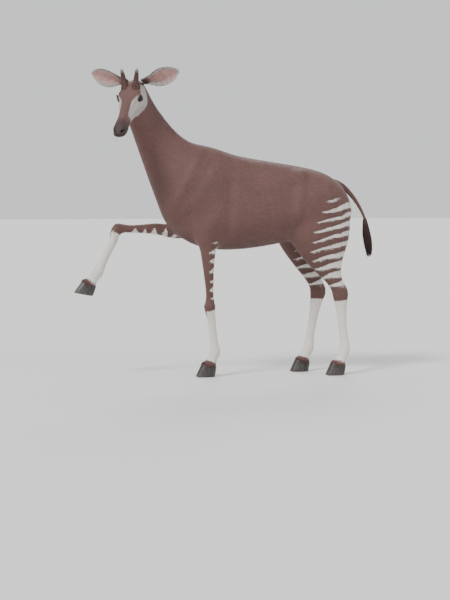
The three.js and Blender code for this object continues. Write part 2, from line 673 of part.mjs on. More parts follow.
// The tuft's core, which reaches half way to the tips of its locks
function tuftCore(start, down) {
  const steps = 6;
  const around = 10;
  const rings = [];
  for (let i = 0; i <= steps; i++) {
    const s = i / steps;
    const at = start.clone().addScaledVector(down, GAP + s * TUFT_LENGTH * TUFT_CORE.share);
    at.add(V(-10 * s * s, 0, -6 * s * s));
    const radius = i === steps ? TUFT_CORE.tip : TUFT_CORE.radius + TUFT_CORE.swell * Math.sin(Math.PI * s);
    rings.push([...Array(around).keys()].map((k) => {
      const turn = (k / around) * Math.PI * 2;
      const out = V(Math.cos(turn), Math.sin(turn), 0).projectOnPlane(down).setLength(radius);
      return at.clone().add(out);
    }));
  }
  return tube(rings);
}

// The tuft at the end of the tail: two tiers of locks round the core, each its start, its count and its reach
function tuft() {
  const draw = seeded(7);
  const tiers = [[0, 6, 0.74], [40, 6, 0.92]];
  const start = tailLine.getPointAt(1);
  const down = tailLine.getTangentAt(1);
  const pieces = [tuftCore(start, down)];
  for (const [lower, count, reach] of tiers)
    for (let k = 0; k < count; k++) {
      const turn = ((k + draw() * 0.6) / count) * Math.PI * 2 + lower;
      const out = V(Math.cos(turn), Math.sin(turn), 0).projectOnPlane(down).normalize();
      const root = start.clone().addScaledVector(down, 6 + lower).addScaledVector(out, 5);
      const length = TUFT_LENGTH * (reach + 0.16 * draw()) - lower;
      const flare = TUFT_LOCK.flare * (1 + 0.7 * draw());
      const middle = root.clone().addScaledVector(down, length * 0.45).addScaledVector(out, flare);
      const tip = root.clone().addScaledVector(down, length * 0.88).addScaledVector(out, flare * 0.6);
      tip.add(V(-TUFT_LOCK.sweep * (1 + 0.6 * draw()), 0, -length * 0.1));
      pieces.push(lock([root, middle, tip], TUFT_LOCK.width * (1 + 0.2 * draw()), TUFT_LOCK.thickness, out));
    }
  return wasm.Manifold.union(pieces);
}

// The head's parts are cut clear of each other, and of the neck where it reaches them
const grownHead = headBody(GAP).add(lids(1)).add(lids(-1));
const neckRings = spineRings.slice(NECK_RING);
const grownNeck = tube(neckRings, GAP);
const clearOfHead = grownHead.add(grownNeck.transform(toHead.elements));
addNode("head", headShape(), "coat", headGroup);
for (const [word, sign] of [["left", -1], ["right", 1]]) {
  addNode(`eye_${word}`, ball(EYE_RADIUS, side(EYE_AT, sign)), "eye", headGroup);
  addNode(`ear_${word}`, ear(sign).subtract(clearOfHead), "coat", headGroup);
  addNode(`ossicone_${word}`, ossicone(sign).subtract(grownHead), "horn_sheath", headGroup);
}

// The neck runs into the head and is cut back to it; its first ring meets the trunk
addNode("neck", tube(neckRings).subtract(grownHead.transform(toBody.elements)), "coat");

// Legs, each in an upper part, a lower part and two claws; the shoulder and hip stay with the torso
let torso = trunkSolid;
const grownLegs = [];
for (const [name, leg] of Object.entries(LEGS)) {
  const rings = legRings(name);
  const [top, middle] = leg.split.map((n) => n * LEG_STEPS);
  torso = torso.add(tube(rings.slice(0, top + 1)));
  grownLegs.push(tube(rings.slice(top, middle), GAP));
  const joint = rings[middle - 1];
  const towards = rings[middle][0].clone().sub(joint[0]).normalize().multiplyScalar(GAP);
  addNode(`${name}_upper_leg`, tube(rings.slice(top, middle)), "coat");
  const lower = [joint.map((p) => p.clone().add(towards)), ...rings.slice(middle)];
  addNode(`${name}_lower_leg`, tube(lower), "stocking");
  addNode(`${name}_claw_outer`, claw(name, leg.sign), "claw");
  addNode(`${name}_claw_inner`, claw(name, -leg.sign), "claw");
}
for (const grown of grownLegs) torso = torso.subtract(grown);
torso = torso.subtract(tube(dockRings(), GAP)).subtract(grownNeck);
addNode("torso", torso, "coat");
addNode("tail_dock", tube(dockRings()), "coat");
addNode("tail_tuft", tuft(), "tuft");

export default group;
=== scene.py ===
import math

import bmesh
import bpy
import numpy as np
from bpy.props import FloatProperty, FloatVectorProperty, IntProperty, PointerProperty
from mathutils import Matrix, Vector
from mathutils.bvhtree import BVHTree


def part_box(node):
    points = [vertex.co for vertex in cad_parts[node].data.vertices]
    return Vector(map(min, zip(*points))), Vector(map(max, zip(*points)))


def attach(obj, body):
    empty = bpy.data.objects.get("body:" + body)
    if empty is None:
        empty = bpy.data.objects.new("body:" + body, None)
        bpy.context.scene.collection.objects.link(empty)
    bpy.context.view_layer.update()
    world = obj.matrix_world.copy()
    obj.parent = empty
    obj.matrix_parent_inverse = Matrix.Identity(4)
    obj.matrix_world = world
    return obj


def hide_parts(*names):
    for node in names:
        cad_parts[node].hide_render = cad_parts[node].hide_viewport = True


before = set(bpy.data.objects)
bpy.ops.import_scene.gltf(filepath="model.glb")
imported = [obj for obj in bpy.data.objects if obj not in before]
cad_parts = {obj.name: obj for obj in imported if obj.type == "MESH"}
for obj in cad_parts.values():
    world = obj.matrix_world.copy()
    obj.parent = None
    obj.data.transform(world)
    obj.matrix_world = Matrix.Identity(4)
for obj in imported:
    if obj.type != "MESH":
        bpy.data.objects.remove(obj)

bl_info = {
    "name": "Okapi",
    "version": (1, 0, 0),
    "blender": (4, 5, 0),
    "location": "3D View > Sidebar > Okapi",
    "description": "Skin, coat, face, ears, hooves and tail tuft for a life-size okapi",
    "category": "Add Mesh",
}

# The solids, by what they are made of
LEGS = ("left_fore", "right_fore", "left_hind", "right_hind")
SIDES = {"left": -1.0, "right": 1.0}
FLESH = ["head", "neck", "torso", "tail_dock"]
FLESH += [f"{leg}_{part}_leg" for leg in LEGS for part in ("upper", "lower")]
EYES = [f"eye_{word}" for word in SIDES]

# The head's own frame: the face looks along -X, the poll is at the origin, sizes in metres
HEAD_TURN = math.radians(60)
HEAD_DROP = math.radians(38)
EYE_AT = Vector((-0.168, 0.0605, 0.028))
EYE_OUT = Vector((-0.4, 0.9, 0.18)).normalized()
EYE_FORWARD = Vector((-1.0, 0.0, -0.28))
EYE_RADIUS = 0.0225
NOSTRIL_AT = Vector((-0.461, 0.028, -0.010))
NOSTRIL_OUT = Vector((-0.66, 0.62, 0.42)).normalized()
NOSTRIL_LONG = Vector((0.42, 0.72, 0.55))
MOUTH_LINE = ((-0.500, -0.049), (-0.440, -0.049), (-0.405, -0.045), (-0.372, -0.034), (-0.352, -0.022))

# The middle plane of the trunk
MIDDLE = sum(corner.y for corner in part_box("torso")) / 2

# Names of the values that the skin and the coat carry at each point
MARKINGS = ("stripe_phase", "stripe_width", "stocking", "pale", "dark", "muzzle", "hollow", "cuff")
LIES = ("lie_leg", "lie_neck", "lie_head")
BAKE_MAP = "OFBake"
PATCH = 0.003
MAP_RANGE = (0.004, 0.993)


class OkapiCoatSettings(bpy.types.PropertyGroup):
    """Lengths and colours of the coat"""

    depth: FloatProperty(name="Coat depth", description="How far the skin lies inside the solids",
                         default=0.002, unit="LENGTH")
    voxel: FloatProperty(name="Skin mesh", description="Mesh size in which the solids are joined to one skin",
                         default=0.0045, unit="LENGTH")
    length: FloatProperty(name="Hair length", description="Length of a tuft on the flank",
                          default=0.017, unit="LENGTH")
    tufts: IntProperty(name="Tufts in a piece", description="Number of tufts in each piece of the coat",
                       default=19000)
    pieces: IntProperty(name="Pieces", description="Number of pieces that the coat is made in", default=6)
    seed: IntProperty(name="Seed", description="Seed of the coat's chance", default=11)
    brown: FloatVectorProperty(name="Brown", description="Chocolate brown of neck and body",
                               default=(0.112, 0.055, 0.048), subtype="COLOR", size=3)
    deep: FloatVectorProperty(name="Deep brown", description="Dark brown of crest, muzzle and stripe edges",
                              default=(0.036, 0.018, 0.017), subtype="COLOR", size=3)
    white: FloatVectorProperty(name="White", description="Creamy white of stripes and stockings",
                               default=(0.70, 0.66, 0.62), subtype="COLOR", size=3)
    grey: FloatVectorProperty(name="Pale grey", description="Pale grey of cheeks and throat",
                              default=(0.45, 0.41, 0.39), subtype="COLOR", size=3)


class OkapiHeadSettings(bpy.types.PropertyGroup):
    """Sizes and colours of the face"""

    lid: FloatProperty(name="Lid", description="Thickness of an eyelid", default=0.0024, unit="LENGTH")
    mouth: FloatProperty(name="Mouth line", description="Depth of the line between the lips",
                         default=0.006, unit="LENGTH")
    nostril: FloatProperty(name="Nostril", description="Depth of a nostril", default=0.012, unit="LENGTH")
    ear_length: FloatProperty(name="Ear", description="Length of an ear", default=0.245, unit="LENGTH")
    ear_wall: FloatProperty(name="Ear wall", description="Thickness of an ear", default=0.005, unit="LENGTH")
    ossicone: FloatProperty(name="Ossicone", description="Height of an ossicone over the skull",
                            default=0.1, unit="LENGTH")
    iris: FloatVectorProperty(name="Iris", description="Dark brown of the iris",
                              default=(0.011, 0.005, 0.003), subtype="COLOR", size=3)
    ear_skin: FloatVectorProperty(name="Inner ear", description="Pink grey skin inside the ear",
                                  default=(0.47, 0.27, 0.245), subtype="COLOR", size=3)


class OkapiStageSettings(bpy.types.PropertyGroup):
    """Camera, floor and light"""

    azimuth: FloatProperty(name="Azimuth", description="Camera angle round the animal",
                           default=math.radians(-14), subtype="ANGLE")
    elevation: FloatProperty(name="Elevation", description="Camera angle over the floor",
                             default=math.radians(4), subtype="ANGLE")
    lens: FloatProperty(name="Lens", description="Focal length in millimetres", default=85.0)
    view_height: FloatProperty(name="View height", description="Height that the picture takes in",
                               default=3.86, unit="LENGTH")
    floor: FloatVectorProperty(name="Floor", description="Pale floor", default=(0.68, 0.68, 0.675),
                               subtype="COLOR", size=3)


# Shader nodes written as sums


class Value:
    """One socket of a material; sums on it add Math nodes"""

    def __init__(self, paint, socket):
        self.paint = paint
        self.socket = socket

    def sum_of(self, operation, first, second=0.0):
        return self.paint.node("ShaderNodeMath", {0: first, 1: second}, operation=operation)

    def __add__(self, other):
        return self.sum_of("ADD", self, other)

    __radd__ = __add__

    def __sub__(self, other):
        return self.sum_of("SUBTRACT", self, other)

    def __rsub__(self, other):
        return self.sum_of("SUBTRACT", other, self)

    def __mul__(self, other):
        return self.sum_of("MULTIPLY", self, other)

    __rmul__ = __mul__

    def floor(self):
        return self.sum_of("FLOOR", self)

    def fraction(self):
        return self.sum_of("FRACT", self)

    def size(self):
        return self.sum_of("ABSOLUTE", self)

    def sine(self):
        return self.sum_of("SINE", self)


class Paint:
    """A material whose nodes are added by one method"""

    def __init__(self, name):
        self.material = bpy.data.materials.new(name)
        self.material.use_nodes = True
        self.tree = self.material.node_tree
        self.shader = self.tree.nodes["Principled BSDF"]

    def node(self, kind, inputs, output=0, **settings):
        made = self.tree.nodes.new(kind)
        for key, value in settings.items():
            setattr(made, key, value)
        for key, value in inputs.items():
            self.feed(made.inputs[key], value)
        return Value(self, made.outputs[output])

    def feed(self, socket, value):
        if isinstance(value, Value):
            self.tree.links.new(value.socket, socket)
        else:
            socket.default_value = value

    def set(self, **inputs):
        for key, value in inputs.items():
            self.feed(self.shader.inputs[key.replace("_", " ")], value)
        return self.material

    def place(self):
        return self.node("ShaderNodeTexCoord", {}, "Object")

    def carried(self, name):
        return self.node("ShaderNodeAttribute", {}, "Fac", attribute_name=name)

    def step(self, value, low, high):
        span = {"Value": value, "From Min": low, "From Max": high}
        return self.node("ShaderNodeMapRange", span, interpolation_type="SMOOTHSTEP")

    def mix(self, share, first, second):
        pair = {0: share, 6: opaque(first), 7: opaque(second)}
        return self.node("ShaderNodeMix", pair, 2, data_type="RGBA", clamp_factor=True)

    def noise(self, scale, detail=3.0, stretch=(1, 1, 1), turn=(0, 0, 0)):
        mapped = self.node("ShaderNodeMapping", {"Vector": self.place(), "Scale": stretch, "Rotation": turn})
        return self.node("ShaderNodeTexNoise", {"Vector": mapped, "Scale": scale, "Detail": detail}, "Fac")

    def bump(self, height, distance, strength=1.0):
        settings = {"Height": height, "Distance": distance, "Strength": strength}
        return self.node("ShaderNodeBump", settings, "Normal")


def tone(colour, factor):
    """A colour made lighter or darker"""
    return [c * factor for c in colour]


def opaque(colour):
    """A colour with its alpha, which a socket wants, or a value as it is"""
    if isinstance(colour, Value):
        return colour
    return (*colour[:3], 1.0)


# The lie of the hair as the turn that brings a noise's long side onto it: trunk, leg, neck and head
HAIR_TURNS = {
    "trunk": (0.0, math.radians(8), 0.0),
    "lie_leg": (0.0, math.radians(90), 0.0),
    "lie_neck": (0.0, math.radians(58), math.radians(-22)),
    "lie_head": (0.0, HEAD_DROP, -HEAD_TURN),
}


def hair_height(paint, scale):
    """Fine streaks that run along the coat, as a height from 0 to 1"""
    total = paint.noise(scale, 2.0, (0.12, 1, 1), HAIR_TURNS["trunk"])
    for name in LIES:
        share = paint.carried(name)
        streak = paint.noise(scale, 2.0, (0.12, 1, 1), HAIR_TURNS[name])
        total = total * (1 - share) + streak * share
    return total


# The soft sheen of the coat, on the skin and on the tufts
VELVET = {"Sheen_Weight": 0.12, "Sheen_Roughness": 0.42, "Sheen_Tint": (0.95, 0.80, 0.76, 1.0)}
# Near-black painted shade for the nostrils, the line between the lips and the ear holes
HOLLOW_SHADE = (0.012, 0.008, 0.008)


def marked_coat(paint, coat):
    """The coat's colour: brown, with stripes, stockings, pale cheeks, a dark muzzle and painted shade in
    nostrils, mouth line and ear holes
    """
    wander = paint.noise(5.0, 2.0)
    ragged = paint.noise(90.0, 2.0)
    streaks = hair_height(paint, 260.0)
    blotch = paint.noise(2.2, 3.0)

    shade = paint.step(blotch * 0.6 + streaks * 0.4, 0.3, 0.7)
    brown = paint.mix(shade, tone(coat.brown, 0.74), tone(coat.brown, 1.22))
    dark = paint.carried("dark") + (ragged - 0.5) * 0.25
    brown = paint.mix(paint.step(dark, 0.1, 0.9), brown, coat.deep)

    phase = paint.carried("stripe_phase") + (wander - 0.5) * 0.9 + (ragged - 0.5) * 0.10
    count = phase.floor()
    chance = ((count * 12.9898).sine() * 43758.5).fraction().size()
    half = paint.carried("stripe_width") * (0.62 + chance * 0.55)
    centre = (phase.fraction() - 0.5).size()
    there = paint.step(half, 0.015, 0.06)
    stripe = paint.step(half - centre, -0.015, 0.035) * there
    edge = paint.step(half - centre, -0.12, 0.0) * (1 - stripe) * there
    brown = paint.mix(edge * 0.75, brown, coat.deep)

    cream = paint.mix(shade, tone(coat.white, 0.86), coat.white)
    colour = paint.mix(stripe, brown, cream)
    sock = paint.step(paint.carried("stocking") + (ragged - 0.5) * 0.010 + (wander - 0.5) * 0.03, 0.0, 0.006)
    colour = paint.mix(sock, colour, cream)
    grey = paint.mix(shade, tone(coat.grey, 0.82), coat.grey)
    grey = paint.mix(paint.step(blotch, 0.35, 0.65) * 0.35, grey, tone(coat.grey, 0.62))
    colour = paint.mix(paint.step(paint.carried("pale") + (ragged - 0.5) * 0.5, 0.15, 0.85), colour, grey)
    bare = paint.step(paint.carried("muzzle") + (ragged - 0.5) * 0.3, 0.2, 0.9)
    colour = paint.mix(bare, colour, paint.mix(blotch, tone(coat.deep, 0.55), coat.deep))
    # Painted shade: the nostrils, the line between the lips and the ear holes darken to near black
    colour = paint.mix(paint.step(paint.carried("hollow"), 0.1, 0.8), colour, HOLLOW_SHADE)
    return colour, streaks


def skin_material(coat):
    """Short velvet fur over the skin, and the bare wet muzzle"""
    paint = Paint("okapi_coat")
    colour, streaks = marked_coat(paint, coat)
    bare = paint.carried("muzzle")
    pores = paint.node("ShaderNodeTexVoronoi", {"Vector": paint.place(), "Scale": 420.0}, "Distance")
    height = streaks * (1 - bare) + pores * bare * 0.8 + paint.noise(60.0, 2.0) * 0.6
    paint.set(Base_Color=colour, Roughness=0.62 - bare * 0.24, Normal=paint.bump(height, 0.0022, 0.55))
    return paint.set(Specular_IOR_Level=0.32, **VELVET)


def tuft_material(coat):
    """The same coat on the tufts, each a little lighter or darker"""
    paint = Paint("okapi_tufts")
    colour, streaks = marked_coat(paint, coat)
    tint = paint.carried("tint")
    colour = paint.mix((1 - tint) * 0.10, colour, coat.deep)
    paint.set(Base_Color=colour, Roughness=0.60 + streaks * 0.1)
    return paint.set(Specular_IOR_Level=0.30, **VELVET)


def hair_material(name, root, tip, roughness=0.5):
    """Hair that changes colour from its root to its tip"""
    paint = Paint(name)
    along = paint.carried("along")
    strand = paint.noise(300.0, 2.0)
    colour = paint.mix(along, root, tip)
    colour = paint.mix(paint.carried("tint") * 0.5, colour, tone(root, 0.45))
    paint.set(Base_Color=colour, Roughness=roughness + (strand - 0.5) * 0.2)
    return paint.set(Specular_IOR_Level=0.45)


# Arrays from meshes and back


def points_of(mesh):
    """The places of a mesh's points"""
    flat = np.empty(len(mesh.vertices) * 3)
    mesh.vertices.foreach_get("co", flat)
    return flat.reshape(-1, 3)


def normals_of(mesh):
    """The normals at a mesh's points"""
    flat = np.empty(len(mesh.vertices) * 3)
    mesh.vertices.foreach_get("normal", flat)
    return flat.reshape(-1, 3)


def edges_of(mesh):
    """The numbers of the two points of each edge"""
    flat = np.empty(len(mesh.edges) * 2, dtype=np.int64)
    mesh.edges.foreach_get("vertices", flat)
    return flat.reshape(-1, 2)


def set_points(mesh, points):
    mesh.vertices.foreach_set("co", np.ascontiguousarray(points).ravel())
    mesh.update()


def carry(mesh, name, values):
    """Stores one number a point, which the materials read"""
    layer = mesh.attributes.new(name, "FLOAT", "POINT")
    layer.data.foreach_set("value", np.ascontiguousarray(values, dtype=np.float32))


def smooth_step(values, low, high):
    """0 below a range, 1 over it, and a smooth rise within it"""
    t = np.clip((values - low) / (high - low), 0.0, 1.0)
    return t * t * (3 - 2 * t)


def window(values, rise, fall):
    """1 between a range over which it rises and a range over which it falls, 0 outside them"""
    return smooth_step(values, *rise) * (1 - smooth_step(values, *fall))


def bell(values, width):
    """1 at zero, falling smoothly to both sides"""
    return np.exp(-((values / width) ** 2))


def unit(vectors):
    """Vectors at a length of 1"""
    return vectors / np.maximum(np.linalg.norm(vectors, axis=-1, keepdims=True), 1e-9)


def relax(values, edges, share, rounds):
    """Moves each value towards the mean of its neighbours"""
    first, second = edges[:, 0], edges[:, 1]
    count = np.maximum(np.bincount(edges.ravel(), minlength=len(values)), 1)
    for _ in range(rounds):
        for k in range(values.shape[1]):
            column = values[:, k]
            total = np.bincount(first, column[second], len(column))
            total += np.bincount(second, column[first], len(column))
            values[:, k] = column + share * (total / count - column)
    return values


def add_piece(name, mesh, material, nodes=()):
    """Links a mesh as a piece of the animal that rides on its body"""
    piece = bpy.data.objects.new(name, mesh)
    bpy.context.scene.collection.objects.link(piece)
    mesh.materials.clear()
    mesh.materials.append(material)
    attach(piece, "root")
    if nodes:
        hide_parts(*nodes)
    return piece


def mesh_from(name, points, faces, smooth=True):
    """A mesh of points and faces"""
    mesh = bpy.data.meshes.new(name)
    mesh.from_pydata([tuple(p) for p in points], [], [tuple(f) for f in faces])
    mesh.polygons.foreach_set("use_smooth", [smooth] * len(mesh.polygons))
    mesh.update()
    return mesh


def head_place():
    """The head frame's place in the model, from where the two eyes are"""
    turn = Matrix.Rotation(HEAD_TURN, 4, "Z") @ Matrix.Rotation(-HEAD_DROP, 4, "Y")
    middle = Vector((0, 0, 0))
    for name in EYES:
        low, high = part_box(name)
        middle += (low + high) / 4
    offset = turn @ Vector((EYE_AT.x, 0, EYE_AT.z))
    return Matrix.Translation(middle - offset) @ turn


HEAD = head_place()


def to_head(points):
    """Points in the head's own frame"""
    return transformed(points, HEAD.inverted())


def transformed(points, matrix):
    """Points turned and moved by a matrix"""
    m = np.array(matrix)
    return points @ m[:3, :3].T + m[:3, 3]


def turned(vectors, matrix):
    """Directions turned by a matrix"""
    return vectors @ np.array(matrix)[:3, :3].T


# The middle line of each leg, from its coronet up to the trunk. The shares are of a solid's points:
# the lower leg's nearest to the upper one, the claws' nearest to the joint, and all under the upper leg's top
THINNED = 3
SLICES = 3
JOINT_SHARE = 0.06
CORONET_SHARE = 0.25
TOP_SHARE = 0.93
# How far a line runs on past its first and its last point, as shares of those stretches
RUN_ON = (0.3, 1.5)


def node_points(name):
    """The points of a solid"""
    return points_of(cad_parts[name].data)


def slices(points, start, end, count):
    """Middles of a few slices of a limb between its two ends"""
    way = end - start
    share = (points - start) @ way / (way @ way)
    middles = []
    for k in range(count):
        within = points[np.abs(share - (k + 1) / (count + 1)) < 0.5 / (count + 1)]
        if len(within):
            middles.append((within.min(0) + within.max(0)) / 2)
    return middles


def leg_line(leg):
    """Points from the coronet through the knee or hock to the trunk, and the number of the joint's point"""
    lower = node_points(f"{leg}_lower_leg")
    upper = node_points(f"{leg}_upper_leg")
    claws = np.concatenate([node_points(f"{leg}_claw_{half}") for half in ("outer", "inner")])
    reach = np.linalg.norm(lower[:, None] - upper[None, ::THINNED], axis=2).min(1)
    joint = lower[reach < np.quantile(reach, JOINT_SHARE)].mean(0)
    from_joint = np.linalg.norm(claws - joint, axis=1)
    coronet = claws[from_joint < np.quantile(from_joint, CORONET_SHARE)].mean(0)
    away = np.linalg.norm(upper - joint, axis=1)
    top = upper[away > np.quantile(away, TOP_SHARE)].mean(0)
    shin = slices(lower, coronet, joint, SLICES)
    arm = slices(upper, joint, top, SLICES)
    line = np.array([coronet, *shin, joint, *arm, top])
    return line, len(shin) + 1


def along_line(points, line):
    """For each point: length along the line, distance from it, and turn from its rear side"""
    best = np.full(len(points), np.inf)
    length = np.zeros(len(points))
    turn = np.zeros(len(points))
    run = 0.0
    last = len(line) - 2
    for k in range(last + 1):
        start, way = line[k], line[k + 1] - line[k]
        size = np.linalg.norm(way)
        low = -RUN_ON[0] if k == 0 else 0.0
        high = 1 + RUN_ON[1] if k == last else 1.0
        share = np.clip((points - start) @ way / size ** 2, low, high)
        off = points - start - share[:, None] * way
        far = np.linalg.norm(off, axis=1)
        rear = unit(np.array([way[2], 0.0, -way[0]]))
        side = np.cross(way / size, rear)
        closer = far < best
        best[closer] = far[closer]
        length[closer] = run + share[closer] * size
        turn[closer] = np.arctan2(off[closer] @ side, off[closer] @ rear)
        run += size
    return length, best, turn


def length_to(line, index):
    """Length of a line up to one of its points"""
    return np.linalg.norm(np.diff(line[: index + 1], axis=0), axis=1).sum()


# The skin
WELD = 1e-5
RELAX_SHARE = 0.5
# Rounds of smoothing: the whole skin, then trunk, neck and upper legs, the line between both, and the face
ROUNDS_ALL = 16
ROUNDS_BIG = 170
ROUNDS_LINE = 20
ROUNDS_FACE = 4
# Share of the faces that is left, and the ranges of the face's zones in the head's frame
LEFT_OVER = 0.14
FACE_FROM, FACE_TO = -0.56, -0.10
FACE_SIDE = 0.12
DETAIL_BEFORE = -0.33
DETAIL_ROUND_EYE = 0.06
FINE_BEFORE = -0.395
FINE_OVER = -0.070
FINE_ROUND_EYE = 0.040


def joined_flesh():
    """The flesh solids and the eyes, welded and joined, with the owner of each face"""
    bm = bmesh.new()
    owners = []
    for name in FLESH + EYES:
        before = len(bm.faces)
        bm.from_mesh(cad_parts[name].data)
        owners += [name] * (len(bm.faces) - before)
    tree = BVHTree.FromBMesh(bm)
    bmesh.ops.remove_doubles(bm, verts=bm.verts, dist=WELD)
    mesh = bpy.data.meshes.new("flesh")
    bm.to_mesh(mesh)
    bm.free()
    return mesh, tree, owners


def with_modifier(mesh, kind, group=None, **settings):
    """The mesh after one modifier, as plain mesh"""
    holder = bpy.data.objects.new("holder", mesh)
    bpy.context.scene.collection.objects.link(holder)
    if group is not None:
        weights = holder.vertex_groups.new(name="part")
        for weight in np.unique(group):
            weights.add(np.flatnonzero(group == weight).tolist(), float(weight), "REPLACE")
    modifier = holder.modifiers.new(kind.title(), kind)
    for key, value in settings.items():
        setattr(modifier, key, value)
    if group is not None:
        modifier.vertex_group = "part"
    result = bpy.data.meshes.new_from_object(holder.evaluated_get(bpy.context.evaluated_depsgraph_get()))
    bpy.data.objects.remove(holder)
    return result


def owner_of(points, tree, owners):
    """The name of the solid that each point lies on"""
    return np.array([owners[tree.find_nearest(Vector(p))[2]] for p in points])


def split_faces(mesh, wanted):
    """Cuts the edges whose middles are wanted in two, and the faces beside them with them"""
    bm = bmesh.new()
    bm.from_mesh(mesh)
    middles = np.array([(e.verts[0].co + e.verts[1].co)[:] for e in bm.edges]) / 2
    chosen = wanted(to_head(middles))
    bm.edges.ensure_lookup_table()
    edges = [bm.edges[i] for i in np.flatnonzero(chosen)]
    bmesh.ops.subdivide_edges(bm, edges=edges, cuts=1, use_grid_fill=True)
    bmesh.ops.triangulate(bm, faces=[f for f in bm.faces if len(f.verts) > 4])
    bm.to_mesh(mesh)
    bm.free()


def face_zone(local):
    """The front of the head, where the face is"""
    return (local[:, 0] < FACE_TO) & (local[:, 0] > FACE_FROM) & (np.abs(local[:, 1]) < FACE_SIDE)


def near_eyes(local, reach):
    """Whether points are within a reach of an eye"""
    far = [np.linalg.norm(local - mirrored(EYE_AT, sign), axis=1) for sign in SIDES.values()]
    return np.minimum(*far) < reach


def detail_zone(local):
    """The muzzle, the mouth and a wide ring round each eye"""
    return face_zone(local) & ((local[:, 0] < DETAIL_BEFORE) | near_eyes(local, DETAIL_ROUND_EYE))


def fine_zone(local):
    """The nostrils, the front of the mouth and a close ring round each eye"""
    front = (local[:, 0] < FINE_BEFORE) & (local[:, 2] > FINE_OVER)
    return face_zone(local) & (front | near_eyes(local, FINE_ROUND_EYE))


def mirrored(vector, sign):
    """A vector of the head's left side, or the same on its right"""
    return np.array([vector[0], sign * vector[1], vector[2]])


def eye_axes(sign):
    """The axes of an eye: out of the head, forwards and up"""
    out = mirrored(EYE_OUT, sign)
    forward = np.array(EYE_FORWARD)
    forward = unit(forward - (forward @ out) * out)
    up = np.cross(forward, out)
    up *= np.sign(up[2])
    return out, forward, up


LID_CORNER = math.radians(66)
LID_UPPER = math.radians(41)
LID_LOWER = math.radians(38)
LID_POINT = 1.65
SOCKET_ANGLE = math.radians(118)
SOCKET_REACH = 0.055
# Folds round the eye: degrees past the lids' edge, width in degrees and height
UPPER_CREASE = (17, 4.5, 0.0022)
LOWER_CREASE = (13, 4.0, 0.0012)
BROW = (32, 10, 0.0025)
LID_OVER_BALL = 0.0012
# Where the lids go over into the face, in degrees past their edge and in metres off the ball
LID_OPENS = (-3.0, 1.5)
LID_BLEND = (6, 34)
BALL_BLEND = (EYE_RADIUS + 0.005, EYE_RADIUS + 0.015)
SOCKET_DEPTH = 0.78


def lid_opening(turn):
    """Half the eye's opening as an angle at the ball, round its almond"""
    along = np.abs(np.cos(turn)) / LID_CORNER
    across = np.abs(np.sin(turn)) / np.where(np.sin(turn) > 0, LID_UPPER, LID_LOWER)
    return (along ** LID_POINT + across ** LID_POINT) ** (-1 / LID_POINT)


def from_eye(local, sign):
    """Distance and direction from an eye's middle, the angle from its axis, and the degrees past its lids"""
    out, forward, up = eye_axes(sign)
    reach = local - mirrored(EYE_AT, sign)
    far = np.linalg.norm(reach, axis=1)
    way = reach / far[:, None]
    angle = np.arccos(np.clip(way @ out, -1, 1))
    turn = np.arctan2(way @ up, way @ forward)
    return far, way, angle, np.sin(turn), np.degrees(angle - lid_opening(turn))


def fold(past, form):
    """The height of a fold of the skin at some degrees past the lids"""
    at, width, height = form
    return height * bell(past - at, width)


def shape_eyes(local, head):
    """Opens the skin over each eye and lays the lids round it"""
    lid = EYE_RADIUS + head.lid
    for sign in SIDES.values():
        far, way, angle, rise, past = from_eye(local, sign)
        near = (far < SOCKET_REACH) & (angle < SOCKET_ANGLE)
        crease = fold(past, UPPER_CREASE) * np.clip(rise + 0.25, 0, 1)
        crease += fold(past, LOWER_CREASE) * np.clip(0.1 - rise, 0, 1)
        brow = fold(past, BROW) * np.clip(rise, 0, 1)
        blend = np.maximum(smooth_step(past, *LID_BLEND), smooth_step(far, *BALL_BLEND))
        outside = lid * (1 - blend) + np.maximum(far, lid) * blend - crease + brow
        outside = np.maximum(outside, EYE_RADIUS + LID_OVER_BALL)
        shut = smooth_step(past, *LID_OPENS)
        wanted = SOCKET_DEPTH * EYE_RADIUS * (1 - shut) + outside * shut
        local[near] = mirrored(EYE_AT, sign) + way[near] * wanted[near, None]


# Forms of the face that the smoothing softens: place, size and height, in the head's frame. In order:
# brow, temple, cheekbone, hollow under it, corner before the eye, jaw, hollow behind the chin,
# side of the nose, ridge over the cheek, wing of the nostril and upper lip
FACE_FORMS = (
    ((-0.150, 0.050, 0.062), (0.034, 0.020, 0.014), 0.0050),
    ((-0.105, 0.066, 0.030), (0.026, 0.018, 0.024), -0.0055),
    ((-0.225, 0.060, -0.006), (0.060, 0.016, 0.009), 0.0045),
    ((-0.235, 0.052, -0.036), (0.050, 0.018, 0.016), -0.0045),
    ((-0.212, 0.055, 0.024), (0.022, 0.014, 0.008), -0.0040),
    ((-0.110, 0.070, -0.062), (0.050, 0.022, 0.034), 0.0055),
    ((-0.180, 0.050, -0.084), (0.030, 0.020, 0.018), -0.0040),
    ((-0.300, 0.034, 0.008), (0.060, 0.012, 0.012), -0.0030),
    ((-0.330, 0.040, -0.022), (0.040, 0.012, 0.010), 0.0022),
    ((-0.432, 0.036, 0.000), (0.018, 0.014, 0.012), 0.0030),
    ((-0.410, 0.040, -0.028), (0.026, 0.014, 0.012), 0.0030),
)


def shape_forms(local, normals):
    """Raises the brow, the cheekbone and the jaw, and sinks the temple and the hollow before the eye"""
    for place, size, height in FACE_FORMS:
        off = (np.stack([local[:, 0], np.abs(local[:, 1]), local[:, 2]], 1) - place) / size
        local += normals * (height * np.exp(-(off ** 2).sum(1)))[:, None]


MOUTH_END = (-0.372, -0.350)
MOUTH_WIDTH = 0.0024
LIP_AT = 0.009
LIP_WIDTH = 0.006
LIP_HEIGHT = 0.0026


